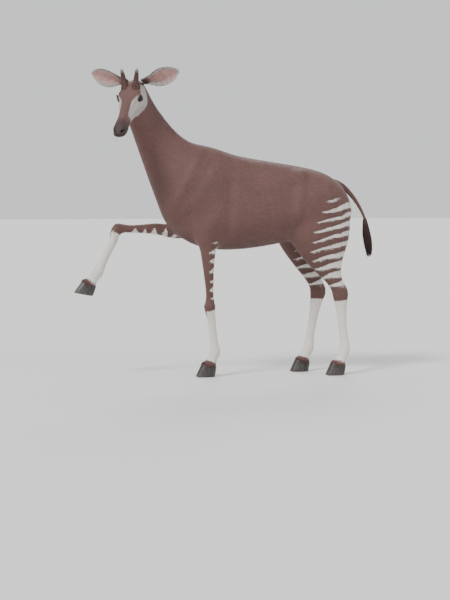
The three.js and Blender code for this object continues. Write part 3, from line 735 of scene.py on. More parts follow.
def shape_mouth(local, normals, head):
    """Presses in the line between the lips, with a lip above and below it"""
    xs = [p[0] for p in MOUTH_LINE]
    zs = [p[1] for p in MOUTH_LINE]
    line = np.interp(local[:, 0], xs, zs)
    above = local[:, 2] - line
    there = 1 - smooth_step(local[:, 0], *MOUTH_END)
    groove = bell(above, MOUTH_WIDTH) * there
    lips = LIP_HEIGHT * (bell(above - LIP_AT, LIP_WIDTH) + bell(above + LIP_AT, LIP_WIDTH)) * there
    local += normals * (lips - head.mouth * groove)[:, None]
    return groove


# A nostril: half its length, half its width and how that narrows, its bend, and the wing round it
NOSTRIL_HALF = 0.0155
NOSTRIL_WIDE = 0.0062
NOSTRIL_TAPER = 0.16
NOSTRIL_RANGE = (-0.012, 0.018)
NOSTRIL_BEND = 14.0
NOSTRIL_REACH = 0.035
WING_AT = 1.35
WING_WIDTH = 0.35
WING_HEIGHT = 0.0024


def shape_nostrils(local, normals, head):
    """Sinks each nostril as a comma that opens forwards and outwards, with a raised wing"""
    hollow = np.zeros(len(local))
    for sign in SIDES.values():
        centre, out, long = (mirrored(v, sign) for v in (NOSTRIL_AT, NOSTRIL_OUT, NOSTRIL_LONG))
        long = unit(long - (long @ out) * out)
        off = local - centre
        run = off @ long
        rest = off @ np.cross(out, long) * sign - NOSTRIL_BEND * run ** 2
        narrow = NOSTRIL_WIDE - NOSTRIL_TAPER * np.clip(run, *NOSTRIL_RANGE)
        inside = np.hypot(run / NOSTRIL_HALF, rest / narrow)
        near = (np.linalg.norm(off, axis=1) < NOSTRIL_REACH) & (normals @ out > -0.2)
        hole = (1 - smooth_step(inside, 0.35, 1.05)) * near
        wing = WING_HEIGHT * bell(inside - WING_AT, WING_WIDTH) * near
        local += normals * wing[:, None] - out * (head.nostril * hole)[:, None]
        hollow = np.maximum(hollow, hole)
    return hollow


PHILTRUM_FRONT = (-0.485, -0.455)
PHILTRUM_LOW, PHILTRUM_HIGH = -0.052, 0.002
PHILTRUM_WIDTH = 0.0022
PHILTRUM_DEPTH = 0.002


def shape_philtrum(local, normals):
    """The shallow groove down the middle of the upper lip"""
    x, y, z = local.T
    front = (1 - smooth_step(x, *PHILTRUM_FRONT)) * (z > PHILTRUM_LOW) * (z < PHILTRUM_HIGH)
    local -= normals * (PHILTRUM_DEPTH * bell(y, PHILTRUM_WIDTH) * front)[:, None]


# The ring over the claws: how far the skin swells, where and how widely, and how far up its tufts grow
CORONET_SWELL = 0.006
CORONET_AT = 0.002
CORONET_WIDTH = 0.016
CUFF_LENGTH = 0.034

# Forms of the body that show through the coat, on both sides: from and to in x and z, width and height.
# In order: edge of the shoulder blade, furrow behind it, hollow behind the shoulder, elbow, furrow before it,
# hip, flank, haunch, furrow behind it, rump, thigh and furrow before the hock
BODY_FORMS = (
    ((-0.215, 1.440), (-0.395, 1.120), 0.030, 0.0050),
    ((-0.150, 1.380), (-0.300, 1.160), 0.034, -0.0045),
    ((-0.040, 1.230), (-0.050, 0.930), 0.040, -0.0080),
    ((-0.120, 1.080), (-0.190, 0.920), 0.050, 0.0060),
    ((-0.300, 1.040), (-0.240, 0.900), 0.028, -0.0050),
    ((0.400, 1.290), (0.440, 1.300), 0.042, 0.0080),
    ((0.345, 1.200), (0.370, 1.130), 0.060, -0.0080),
    ((0.440, 1.270), (0.385, 0.960), 0.034, 0.0050),
    ((0.675, 1.120), (0.640, 0.800), 0.022, -0.0060),
    ((0.610, 1.210), (0.620, 1.180), 0.040, 0.0060),
    ((0.560, 0.980), (0.520, 0.800), 0.050, 0.0050),
    ((0.600, 0.780), (0.660, 0.620), 0.014, -0.0035),
)
RIBS = {"front": (0.02, 0.08), "rear": (0.27, 0.33), "low": (0.95, 1.05), "high": (1.16, 1.26)}
RIB_APART = 0.052
RIB_SLANT = 0.18
RIB_HEIGHT = 0.0005


def from_segment(points, start, end):
    """How far points in a plane are from a segment"""
    start, end = np.array(start), np.array(end)
    way = end - start
    share = np.clip((points - start) @ way / (way @ way), 0, 1)
    return np.linalg.norm(points - start - share[:, None] * way, axis=1)


def shape_body(points, normals, wanted):
    """Raises shoulder blade, hip and muscles, sinks the flank and the furrows, and hints at the ribs"""
    flat = points[:, [0, 2]]
    sideways = smooth_step(np.abs(normals[:, 1]), 0.15, 0.6) * wanted
    height = np.zeros(len(points))
    for start, end, width, lift in BODY_FORMS:
        height += lift * bell(from_segment(flat, start, end), width)
    x, z = flat.T
    within = window(x, RIBS["front"], RIBS["rear"]) * window(z, RIBS["low"], RIBS["high"])
    height += RIB_HEIGHT * within * np.sin(2 * math.pi * (x + RIB_SLANT * z) / RIB_APART)
    return points + normals * (height * sideways)[:, None]


def shape_coronets(points, normals, owner):
    """Swells each leg out over the tops of its claws"""
    height = np.zeros(len(points))
    for leg in LEGS:
        mine = np.char.startswith(owner, leg)
        length = along_line(points, leg_line(leg)[0])[0]
        height[mine] = (CORONET_SWELL * bell(length - CORONET_AT, CORONET_WIDTH))[mine]
    return points + normals * height[:, None]


def smoothed_flesh(coat):
    """The flesh solids as one smooth skin that lies inside the coat, and the parts that its points are on"""
    flesh, tree, owners = joined_flesh()
    mesh = with_modifier(flesh, "REMESH", mode="VOXEL", voxel_size=coat.voxel)
    points = points_of(mesh)
    edges = edges_of(mesh)
    owner = owner_of(points, tree, owners)
    relax(points, edges, RELAX_SHARE, ROUNDS_ALL)
    big = np.isin(owner, ["torso", "neck"] + [f"{leg}_upper_leg" for leg in LEGS]).astype(float)
    big = relax(big[:, None], edges, RELAX_SHARE, ROUNDS_LINE)[:, 0]
    relax(points, edges, RELAX_SHARE * big, ROUNDS_BIG)
    set_points(mesh, points)
    set_points(mesh, shape_body(points_of(mesh), normals_of(mesh), big))
    set_points(mesh, shape_coronets(points_of(mesh), normals_of(mesh), owner))
    set_points(mesh, points_of(mesh) - normals_of(mesh) * coat.depth)
    return mesh, tree, owners, owner


def shape_face(mesh, head, on_head):
    """Works the face into the skin, and returns how deep each point lies in a nostril or the mouth, which the
    coat darkens as painted shade
    """
    points = points_of(mesh)
    normals = turned(normals_of(mesh), HEAD.inverted())
    shaped = to_head(points)
    shape_forms(shaped, normals)
    shape_eyes(shaped, head)
    groove = shape_mouth(shaped, normals, head)
    hollow = shape_nostrils(shaped, normals, head)
    shape_philtrum(shaped, normals)
    points[on_head] = transformed(shaped[on_head], HEAD)
    set_points(mesh, points)
    # The depth in the nostrils and the mouth line, kept for the coat's painted shade
    return np.maximum(hollow, groove * 0.6) * on_head


def build_skin(coat, head):
    """One skin over all the flesh, with the face worked into it"""
    mesh, tree, owners, owner = smoothed_flesh(coat)
    keep = face_zone(to_head(points_of(mesh))) & np.isin(owner, ["head", *EYES])
    mesh = with_modifier(mesh, "DECIMATE", group=1.0 - keep, ratio=LEFT_OVER)
    split_faces(mesh, detail_zone)
    split_faces(mesh, fine_zone)
    points = points_of(mesh)
    zone = face_zone(to_head(points)).astype(float)
    relax(points, edges_of(mesh), RELAX_SHARE * zone, ROUNDS_FACE)
    set_points(mesh, points)

    local = to_head(points)
    owner = owner_of(points, tree, owners)
    on_head = np.isin(owner, ["head", *EYES])
    hollow = shape_face(mesh, head, on_head)
    mesh.polygons.foreach_set("use_smooth", [True] * len(mesh.polygons))
    mark(mesh, local, owner, on_head, hollow)
    return mesh


# Markings: the lie of the hair on trunk, neck, head and tail, and how much more it sinks on the flanks
TRUNK_LIE = np.array([1.0, 0.0, -0.18])
FLANK_SINK = 0.5
NECK_LIE = np.array([0.50, 0.14, -0.86])
HEAD_LIE = np.array([1.0, 0.0, -0.12])
TAIL_LIE = np.array([0.45, -0.05, -0.89])
ROUNDS_SHARES = 10
ROUNDS_LIE = 24

# A leg: how much room its lower part has over the joint, and the stocking's two ends
KNEE_ROOM = 0.02
STOCKING_UNDER_KNEE = 0.045
STOCKING_OVER_HOOF = 0.022
FRONT_LINE_WIDTH = 0.30
FRONT_LINE_DEPTH = 0.05

# Stripes of a foreleg, along it and round it, and of a haunch, over the ground and forward from the rear edge
FORE_APART, FORE_WIDTH = 0.062, 0.36
FORE_START, FORE_END = (0.015, 0.05), (0.36, 0.42)
FORE_ROUND = (0.2, 2.1)
HIND_APART, HIND_WIDTH = 0.064, 0.37
HIND_START, HIND_END = (0.56, 0.60), (1.11, 1.17)
HIND_TILT, HIND_TILT_END = 0.22, 0.4
HIND_REACH = 0.15
THIGH_MORE, THIGH_FROM = 0.13, (0.6, 0.85)
RUMP_LESS, RUMP_FROM = 0.06, (1.0, 1.15)
HAUNCH_ROUND = 0.085
HAUNCH_FROM = 0.42

# The head, in its own frame: the pale cheek and throat, the bare muzzle, the dark nose and the painted shade
# of the ear holes
CHEEK_BROW, BROW_SLOPE = 0.052, 0.10
CHEEK_SIDE = (0.022, 0.040)
CHEEK_TOP = (-0.012, 0.010)
CHEEK_FRONT, CHEEK_REAR = (-0.365, -0.30), (-0.075, -0.035)
THROAT_TOP = (-0.085, -0.06)
THROAT_FRONT, THROAT_REAR = (-0.33, -0.27), (-0.06, -0.02)
NEAR_EYE = (0.026, 0.037)
BARE_LID, DARK_LID, BROWN_LID = (3, 16), (8, 40), (6, 20)
MUZZLE_EDGE, MUZZLE_ROUND = (-0.440, -0.395), 0.35
NOSE_EDGE, NOSE_DARK = (-0.42, -0.30), 0.75
EAR_HOLE_EDGE = (0.022, 0.030)
LIDS_DARK = 0.9
FACE_DARK = 0.35
TAIL_DARK = 0.35
CREST, CREST_DARK = (0.86, 1.0), 0.45


EDGE_RANGE = (0.45, 1.30)
EDGE_STEP = 0.02


def rear_edge(points, wanted):
    """How far back the skin reaches at each height, for the points that are wanted"""
    heights, backs = [], []
    for level in np.arange(*EDGE_RANGE, EDGE_STEP):
        there = wanted & (np.abs(points[:, 2] - level) < EDGE_STEP)
        if there.any():
            heights.append(level)
            backs.append(points[there, 0].max())
    return np.interp(points[:, 2], heights, backs)


def mark_foreleg(length, back, knee, mine, lower, marks):
    """Stripes on the rear of the upper foreleg, and the brown line down the front of its stocking"""
    front_line = bell(back - math.pi, FRONT_LINE_WIDTH) * smooth_step(length, knee * 0.35, knee * 0.8)
    marks["stocking"][lower] -= (FRONT_LINE_DEPTH * front_line)[lower]
    past = length - knee
    fade = window(past, FORE_START, FORE_END)
    reach = 1 - smooth_step(back, *FORE_ROUND)
    marks["stripe_phase"][mine] = (past / FORE_APART)[mine]
    marks["stripe_width"][mine] = (FORE_WIDTH * fade * reach)[mine]


def mark_haunch(points, flank, marks):
    """Stripes that run forward and up from the rear edge of thigh and rump"""
    x, y, z = points.T
    forward = rear_edge(points, flank) - x
    height = z + HIND_TILT * np.clip(forward, 0, HIND_TILT_END)
    reach = HIND_REACH + THIGH_MORE * smooth_step(z, *THIGH_FROM) - RUMP_LESS * smooth_step(z, *RUMP_FROM)
    fade = window(z, HIND_START, HIND_END)
    marks["stripe_phase"][flank] = (height / HIND_APART)[flank]
    marks["stripe_width"][flank] = (HIND_WIDTH * fade * np.clip(1 - forward / reach, 0, 1) ** 0.6)[flank]


def mark_leg(leg, points, owner, mine, marks, lie):
    """Marks one leg with its stocking, its stripes and the tufts over its claws, and lays its hair down it"""
    line, joint = leg_line(leg)
    knee = length_to(line, joint)
    length, far, turn = along_line(points, line)
    lower = mine & (length < knee + KNEE_ROOM)
    ends = np.minimum(knee - STOCKING_UNDER_KNEE - length, length - STOCKING_OVER_HOOF)
    marks["stocking"][mine] = ends[mine]
    marks["cuff"][mine] = (1 - smooth_step(length, CUFF_LENGTH * 0.4, CUFF_LENGTH))[mine]
    if "fore" in leg:
        mark_foreleg(length, np.abs(turn), knee, mine, lower, marks)
    else:
        same_side = (points[:, 1] > MIDDLE) == (line[-1][1] > MIDDLE)
        haunch = (owner == "torso") & ((far < HAUNCH_ROUND) | (points[:, 0] > HAUNCH_FROM))
        mark_haunch(points, (mine | haunch) & same_side & ~lower, marks)
    for k in range(len(line) - 1):
        there = mine & (length >= length_to(line, k)) if k else mine
        lie[there] = unit(line[k] - line[k + 1])


def mark_head(local, on_head, marks):
    """Marks the pale cheeks and throat, the dark lids, nose and muzzle, and the painted shade of the ear
    holes
    """
    x, y, z = local.T
    side = np.abs(y)
    brow = CHEEK_BROW + BROW_SLOPE * (x - EYE_AT.x)
    cheek = smooth_step(side, *CHEEK_SIDE) * (1 - smooth_step(z - brow, *CHEEK_TOP))
    cheek *= window(x, CHEEK_FRONT, CHEEK_REAR)
    throat = (1 - smooth_step(z, *THROAT_TOP)) * window(x, THROAT_FRONT, THROAT_REAR)
    muzzle = 1 - smooth_step(x + MUZZLE_ROUND * side, *MUZZLE_EDGE)
    dark = NOSE_DARK * (1 - smooth_step(x, *NOSE_EDGE)) * on_head
    for sign in SIDES.values():
        far, way, angle, rise, past = from_eye(local, sign)
        near = 1 - smooth_step(far, *NEAR_EYE)
        muzzle = np.maximum(muzzle, (1 - smooth_step(past, *BARE_LID)) * near)
        dark = np.maximum(dark, LIDS_DARK * (1 - smooth_step(past, *DARK_LID)) * near)
        cheek *= 1 - (1 - smooth_step(past, *BROWN_LID)) * near
        # Painted shade: a near-black disc on the skin round the root of each ear
        from_hole = np.linalg.norm(local - mirrored(EAR_ROOT, sign), axis=1)
        hole = (1 - smooth_step(from_hole, *EAR_HOLE_EDGE)) * on_head
        marks["hollow"] = np.maximum(marks["hollow"], hole)
    marks["pale"] = np.maximum(cheek, throat) * on_head
    marks["muzzle"] = muzzle * on_head
    marks["dark"] = np.maximum(dark, on_head * FACE_DARK * (1 - marks["pale"]))


def mark(mesh, local, owner, on_head, hollow):
    """Stores the markings and the lie of the coat on the skin's points"""
    points = points_of(mesh)
    normals = normals_of(mesh)
    marks = {name: np.zeros(len(points)) for name in MARKINGS}
    marks["stocking"] -= 1.0
    marks["hollow"] = hollow
    lie = np.tile(TRUNK_LIE, (len(points), 1))
    lie[:, 2] -= FLANK_SINK * np.abs(normals[:, 1])
    on_leg = np.zeros(len(points))
    for leg in LEGS:
        mine = np.char.startswith(owner, leg)
        on_leg[mine] = 1.0
        mark_leg(leg, points, owner, mine, marks, lie)
    mark_head(local, on_head, marks)
    crest = np.clip(normals[:, 2], 0, None) * np.isin(owner, ["neck", "torso"])
    marks["dark"] = np.maximum(marks["dark"], CREST_DARK * smooth_step(crest, *CREST))
    marks["dark"] = np.maximum(marks["dark"], TAIL_DARK * (owner == "tail_dock"))

    lie[owner == "neck"] = unit(NECK_LIE)
    lie[on_head] = turned(HEAD_LIE, HEAD)
    lie[owner == "tail_dock"] = unit(TAIL_LIE)
    edges = edges_of(mesh)
    lie = relax(lie, edges, RELAX_SHARE, ROUNDS_LIE)
    lie = unit(lie - (lie * normals).sum(1)[:, None] * normals)
    shares = np.stack([on_leg, owner == "neck", on_head], 1).astype(float)
    shares = relax(shares, edges, RELAX_SHARE, ROUNDS_SHARES)
    for name, values in [*marks.items(), *zip(LIES, shares.T)]:
        carry(mesh, name, values)
    layer = mesh.attributes.new("lie", "FLOAT_VECTOR", "POINT")
    layer.data.foreach_set("vector", np.ascontiguousarray(lie, dtype=np.float32).ravel())


class OKAPI_OT_skin(bpy.types.Operator):
    """Join the flesh solids to one skin and work the face into it"""

    bl_idname = "okapi.skin"
    bl_label = "Skin"

    def execute(self, context):
        coat = context.scene.okapi_coat
        mesh = build_skin(coat, context.scene.okapi_head)
        add_piece("skin", mesh, skin_material(coat), FLESH)
        return {"FINISHED"}


# Eyes: rows and columns of a ball, where iris and level pupil end in degrees from its axis, and the lids'
# rim and lashes, these as first turn, last turn and number
BALL_ROWS, BALL_ROUND = 40, 56
IRIS_END = 40
PUPIL_LONG, PUPIL_TALL = 22, 12
RIM_ALONG, RIM_ROUND = 72, 8
RIM_THICK, RIM_THICKER, RIM_OUT = 0.36, 0.10, 0.40
UPPER_LASHES = (0.65, 2.75, 48)
LOWER_LASHES = (3.9, 5.4, 12)
# Length of the longest lash above and below, how far it spreads off the lid, and how far lashes bend
UPPER_LASH, LOWER_LASH = (0.016, 0.15), (0.005, 0.5)
LASH_BEND = 0.22

# The hairs of each piece: radius at the root, sections along them and sides
HAIRS = {
    "lashes": (0.00055, 4, 4),
    "ear_fringe": (0.0007, 3, 3),
    "ear_root_hair": (0.0007, 3, 3),
    "ear_fur": (0.0006, 2, 3),
    "ossicone_fur": (0.0006, 2, 3),
    "tail_hairs": (0.0013, 6, 3),
}
HAIR_TAPER = 0.75
# Added to a bend, so that a hair's sides are defined where it bends along itself
OFF_AXIS = np.array([0.0, 1e-4, 2e-4])


def eye_material(head):
    """A dark wet eye: brown iris, level pupil, a darker rim"""
    paint = Paint("okapi_eye")
    radius = paint.carried("iris_radius")
    pupil = paint.carried("pupil")
    fibres = paint.noise(900.0, 3.0)
    iris = paint.mix(paint.step(fibres, 0.3, 0.7), head.iris, tone(head.iris, 1.8))
    colour = paint.mix(paint.step(radius, 0.80, 1.0), iris, (0.006, 0.004, 0.004))
    colour = paint.mix(paint.step(radius, 1.35, 1.7), colour, (0.035, 0.020, 0.016))
    colour = paint.mix(paint.step(pupil, 0.9, 1.1), (0.002, 0.002, 0.003), colour)
    paint.set(Base_Color=colour, Roughness=0.10)
    return paint.set(Coat_Weight=0.4, Coat_Roughness=0.02, Specular_IOR_Level=0.15)


def rim_material():
    """Bare black skin on the edge of the lids"""
    paint = Paint("okapi_lid_rim")
    grain = paint.noise(400.0, 3.0)
    colour = paint.mix(grain, (0.005, 0.004, 0.004), (0.018, 0.013, 0.012))
    paint.set(Base_Color=colour, Roughness=0.42 + grain * 0.2, Normal=paint.bump(grain, 0.0006, 0.4))
    return paint.set(Specular_IOR_Level=0.25)


def eyeball(sign):
    """A ball with rows round its own axis, so that iris and pupil are round"""
    out, forward, up = eye_axes(sign)
    centre = mirrored(EYE_AT, sign)
    places = [(0.0, 0.0)]
    for i in range(1, BALL_ROWS):
        places += [(math.pi * i / BALL_ROWS, 2 * math.pi * k / BALL_ROUND) for k in range(BALL_ROUND)]
    places.append((math.pi, 0.0))
    angle, turn = np.array(places).T
    flat = np.outer(np.cos(turn), forward) + np.outer(np.sin(turn), up)
    points = centre + EYE_RADIUS * (np.outer(np.cos(angle), out) + np.sin(angle)[:, None] * flat)
    faces = []
    last = len(points) - 1
    for k in range(BALL_ROUND):
        nxt = (k + 1) % BALL_ROUND
        faces.append((0, 1 + k, 1 + nxt))
        faces.append((last, last - BALL_ROUND + nxt, last - BALL_ROUND + k))
        for i in range(BALL_ROWS - 2):
            a, b = 1 + i * BALL_ROUND + k, 1 + i * BALL_ROUND + nxt
            faces.append((a, a + BALL_ROUND, b + BALL_ROUND, b))
    mesh = mesh_from("eyeball", transformed(points, HEAD), faces)
    outward(mesh)
    degrees = np.degrees(angle)
    carry(mesh, "iris_radius", degrees / IRIS_END)
    carry(mesh, "pupil", np.hypot(degrees * np.cos(turn) / PUPIL_LONG, degrees * np.sin(turn) / PUPIL_TALL))
    return mesh


def outward(mesh):
    """Turns the faces of a closed mesh to point out of it"""
    bm = bmesh.new()
    bm.from_mesh(mesh)
    bmesh.ops.recalc_face_normals(bm, faces=bm.faces)
    bm.to_mesh(mesh)
    bm.free()


def tube_faces(rings, around, closed):
    """The faces of a tube from ring to ring, closed to a ring itself or capped at both ends"""
    faces = []
    for i in range(rings if closed else rings - 1):
        j = (i + 1) % rings
        for k in range(around):
            n = (k + 1) % around
            faces.append((i * around + k, i * around + n, j * around + n, j * around + k))
    if not closed:
        faces.append(tuple(range(around)))
        faces.append(tuple(reversed(range((rings - 1) * around, rings * around))))
    return faces


def on_lids(turn, sign):
    """Directions at a point of the lids' edge: out from the ball, and away from its axis, flat and curved"""
    out, forward, up = eye_axes(sign)
    open_angle = float(lid_opening(np.array([turn]))[0])
    flat = forward * math.cos(turn) + up * math.sin(turn)
    radial = out * math.cos(open_angle) + flat * math.sin(open_angle)
    away = flat * math.cos(open_angle) - out * math.sin(open_angle)
    return radial, flat, away


def lid_rim(sign, head):
    """The bare dark edge of the lids, a fine cord that lies on the ball"""
    points = []
    for i in range(RIM_ALONG):
        turn = 2 * math.pi * i / RIM_ALONG
        radial, flat, away = on_lids(turn, sign)
        thick = head.lid * (RIM_THICK + RIM_THICKER * math.sin(turn))
        middle = mirrored(EYE_AT, sign) + radial * (EYE_RADIUS + head.lid * RIM_OUT)
        for k in range(RIM_ROUND):
            spin = 2 * math.pi * k / RIM_ROUND
            points.append(middle + thick * (radial * math.cos(spin) + away * math.sin(spin)))
    faces = tube_faces(RIM_ALONG, RIM_ROUND, True)
    mesh = mesh_from("lid_rim", transformed(np.array(points), HEAD), faces)
    outward(mesh)
    return mesh


def strands(hairs, radius, sections, around):
    """Points, faces and places along them of tapered hairs, which each bend by the end of their length"""
    points, faces, along = [], [], []
    for root, way, length, bend, place in hairs:
        base = len(points)
        side = unit(np.cross(way, bend + OFF_AXIS))
        flat = unit(np.cross(side, way))
        for i in range(sections):
            t = i / sections
            at = root + way * length * t + bend * length * t * t
            size = radius * (1 - HAIR_TAPER * t)
            for k in range(around):
                spin = 2 * math.pi * k / around
                points.append(at + size * (side * math.cos(spin) + flat * math.sin(spin)))
                along.append(t)
        points.append(root + way * length + bend * length)
        along.append(1.0)
        faces.append([base + k for k in reversed(range(around))])
        for low in range(base, base + (sections - 1) * around, around):
            for k in range(around):
                n = (k + 1) % around
                faces.append([low + k, low + n, low + around + n, low + around + k])
        top = base + (sections - 1) * around
        for k in range(around):
            faces.append([top + k, top + (k + 1) % around, len(points) - 1])
    return np.array(points), faces, np.array(along)


def lay_on_map(mesh, places, patch):
    """Gives every hair or tuft a small patch of the map at its root's place"""
    flat = np.clip(places, *MAP_RANGE)[:, None] + np.array(patch)[None] * PATCH
    loops = np.empty(len(mesh.loops), dtype=np.int64)
    mesh.loops.foreach_get("vertex_index", loops)
    layer = mesh.uv_layers.new(name=BAKE_MAP)
    layer.data.foreach_set("uv", flat.reshape(-1, 2)[loops].ravel())


def hair_mesh(name, hairs, matrix):
    """A mesh of tapered hairs, each given as root, way, length, bend and place on the map"""
    radius, sections, around = HAIRS[name]
    points, faces, along = strands(hairs, radius, sections, around)
    mesh = mesh_from(name, transformed(points, matrix), faces)
    outward(mesh)
    carry(mesh, "along", along)
    patch = [(i / sections, k / around) for i in range(sections) for k in range(around)]
    lay_on_map(mesh, np.array([hair[-1] for hair in hairs]), [*patch, (1.0, 0.5)])
    return mesh


def round_share(turn):
    """A turn as a share of the full circle"""
    return turn / (2 * math.pi) % 1.0


def lashes(sign, head, rng):
    """Long lashes from the upper lid, and a few short ones below"""
    up = eye_axes(sign)[2]
    hairs = []
    for turn in np.concatenate([np.linspace(*UPPER_LASHES), np.linspace(*LOWER_LASHES)]):
        turn += rng.normal(0, 0.02)
        upper = turn < math.pi
        radial, flat, away = on_lids(turn, sign)
        longest, spread = UPPER_LASH if upper else LOWER_LASH
        root = mirrored(EYE_AT, sign) + radial * (EYE_RADIUS + head.lid * 0.8)
        way = unit(radial * 0.9 + flat * spread)
        length = longest * rng.uniform(0.75, 1.1) * math.sqrt(abs(math.sin(turn)))
        hairs.append((root, way, length, -LASH_BEND * up, (round_share(turn), 0.5)))
    return hair_mesh("lashes", hairs, HEAD)


class OKAPI_OT_eyes(bpy.types.Operator):
    """Make the eyeballs, the dark rims of the lids and the lashes"""

    bl_idname = "okapi.eyes"
    bl_label = "Eyes"

    def execute(self, context):
        head = context.scene.okapi_head
        rng = np.random.default_rng(3)
        ball = eye_material(head)
        rim = rim_material()
        hair = hair_material("okapi_lashes", (0.012, 0.008, 0.008), (0.03, 0.02, 0.018))
        for word, sign in SIDES.items():
            add_piece(f"eyeball_{word}", eyeball(sign), ball, [f"eye_{word}"])
            add_piece(f"lid_rim_{word}", lid_rim(sign, head), rim)
            add_piece(f"lashes_{word}", lashes(sign, head, rng), hair)
        return {"FINISHED"}


# Ears, in the head's frame: arc and roll of the leaf from its root to its tip, and how it bends back
EAR_ARC = (0.044, 0.050, 0.060, 0.069, 0.073, 0.070, 0.060, 0.042, 0.009)
EAR_ROLL = (2.6, 2.3, 1.85, 1.45, 1.2, 1.05, 0.95, 0.9, 0.85)
EAR_ROOT = Vector((-0.036, 0.048, 0.058))
EAR_OUT = Vector((0.24, 0.95, 0.17)).normalized()
EAR_FACING = Vector((-0.86, 0.2, 0.2))
EAR_BACK, EAR_SET = 0.030, -0.020
EAR_ROWS, EAR_COLUMNS = 56, 40
EAR_RIB, EAR_RIBS = 0.0009, 15
FRINGE_HAIRS, ROOT_HAIRS, EAR_FUR_HAIRS = 900, 1100, 3200


def spline_at(values, t):
    """Value of a smooth curve through equally spaced values"""
    i = min(int(t), len(values) - 2)
    f = t - i
    a, b, c, d = (values[min(max(k, 0), len(values) - 1)] for k in (i - 1, i, i + 1, i + 2))
    return b + 0.5 * f * (c - a + f * (2 * a - 5 * b + 4 * c - d + f * (3 * (b - c) + d - a)))


def ear_axes():
    """The axes of the left ear: to its tip, out of its cup and across it"""
    out = np.array(EAR_OUT)
    facing = np.array(EAR_FACING)
    facing = unit(facing - (facing @ out) * out)
    return out, facing, np.cross(out, facing)


def ear_point(s, t, depth, head):
    """A point of the leaf: s from root to tip, t from edge to edge, depth in from its outer face"""
    out, facing, edge = ear_axes()
    roll = spline_at(EAR_ROLL, s * (len(EAR_ROLL) - 1))
    radius = spline_at(EAR_ARC, s * (len(EAR_ARC) - 1)) / roll
    back = EAR_BACK * s * s + EAR_SET
    r = radius - depth * (1 - 0.8 * t ** 4) * (1 - 0.35 * s)
    point = np.array(EAR_ROOT) + out * s * head.ear_length
    point = point + facing * (back + radius - r * math.cos(t * roll))
    return point + edge * r * math.sin(t * roll)


def ear_mesh(sign, head):
    """The leaf of an ear, its outer face furred and its inner face ribbed"""
    points, inside, margin, along = [], [], [], []
    for face, depth in enumerate((0.0, head.ear_wall)):
        for i in range(EAR_ROWS + 1):
            s = i / EAR_ROWS
            for k in range(EAR_COLUMNS + 1):
                t = k / EAR_COLUMNS * 2 - 1
                fade = math.sin(math.pi * min(s * 1.1, 1)) * (1 - t * t)
                ribs = EAR_RIB * face * math.cos(t * EAR_RIBS) * fade
                points.append(ear_point(s, t, depth + ribs, head) * (1, sign, 1))
                inside.append(float(face))
                margin.append(abs(t) ** 3)
                along.append(s)
    n = EAR_COLUMNS + 1
    count = (EAR_ROWS + 1) * n
    faces = []
    for i in range(EAR_ROWS):
        for k in range(EAR_COLUMNS):
            a = i * n + k
            faces.append((a, a + 1, a + n + 1, a + n))
            faces.append((count + a, count + a + n, count + a + n + 1, count + a + 1))
    rim = [(k, k + 1) for k in range(EAR_COLUMNS)]
    rim += [(i * n + EAR_COLUMNS, (i + 1) * n + EAR_COLUMNS) for i in range(EAR_ROWS)]
    rim += [(EAR_ROWS * n + k + 1, EAR_ROWS * n + k) for k in range(EAR_COLUMNS)]
    rim += [((i + 1) * n, i * n) for i in range(EAR_ROWS)]
    faces += [(b, a, count + a, count + b) for a, b in rim]
    mesh = mesh_from("ear", transformed(np.array(points), HEAD), faces)
    outward(mesh)
    for name, values in {"inside": inside, "margin": margin, "along": along}.items():
        carry(mesh, name, values)
    return mesh


def ear_material(coat, head):
    """Dark fur behind, pink grey skin within that darkens as painted shade deep in the cup, a black edge"""
    paint = Paint("okapi_ear")
    inside = paint.carried("inside")
    along = paint.carried("along")
    margin = paint.carried("margin")
    mottle = paint.noise(40.0, 3.0)
    hair = paint.noise(420.0, 2.0, (0.2, 1, 1), HAIR_TURNS["lie_head"])
    fur = paint.mix(paint.step(mottle, 0.3, 0.7), tone(coat.brown, 0.55), tone(coat.brown, 0.95))
    skin = paint.mix(paint.step(mottle, 0.35, 0.7), tone(head.ear_skin, 0.78), head.ear_skin)
    # Painted shade: the inner skin darkens towards the ear's root, deep in its cup
    skin = paint.mix(paint.step(along, 0.30, 0.02) * 0.6, skin, tone(head.ear_skin, 0.35))
    skin = paint.mix(paint.step(margin, 0.35, 0.75), skin, coat.grey)
    colour = paint.mix(paint.step(inside, 0.4, 0.6), fur, skin)
    colour = paint.mix(paint.step(margin, 0.86, 0.97) * 0.9, colour, coat.deep)
    paint.set(Base_Color=colour, Roughness=0.62 - inside * 0.1, Normal=paint.bump(hair, 0.0015, 0.5))
    return paint.set(Sheen_Weight=0.2, Specular_IOR_Level=0.3)


def side_hair(sign, root, way, length, bend, place):
    """A hair of the left side, or the same on the right"""
    flip = np.array([1.0, sign, 1.0])
    return root * flip, way * flip, length, bend * flip, place


def ear_fringe(sign, head, rng):
    """Pale hairs that grow from both edges of the ear into its cup, and short ones round its tip"""
    hairs = []
    out, facing = ear_axes()[:2]
    for _ in range(FRINGE_HAIRS):
        s = rng.uniform(0.03, 0.97)
        bank = rng.choice((-1.0, 1.0))
        t = bank * rng.uniform(0.72, 0.98)
        root = ear_point(s, t, head.ear_wall * 0.8, head)
        inward = unit(ear_point(s, t * 0.75, head.ear_wall, head) - root)
        way = inward * rng.uniform(0.3, 0.8) + out * rng.uniform(0.5, 0.9) + facing * rng.uniform(0.1, 0.4)
        length = rng.uniform(0.016, 0.034) * (1 - 0.45 * s)
        bend = inward * 0.15 + out * 0.25
        hairs.append(side_hair(sign, root, unit(way), length, bend, (s, 0.5 + 0.5 * t)))
    return hair_mesh("ear_fringe", hairs, HEAD)


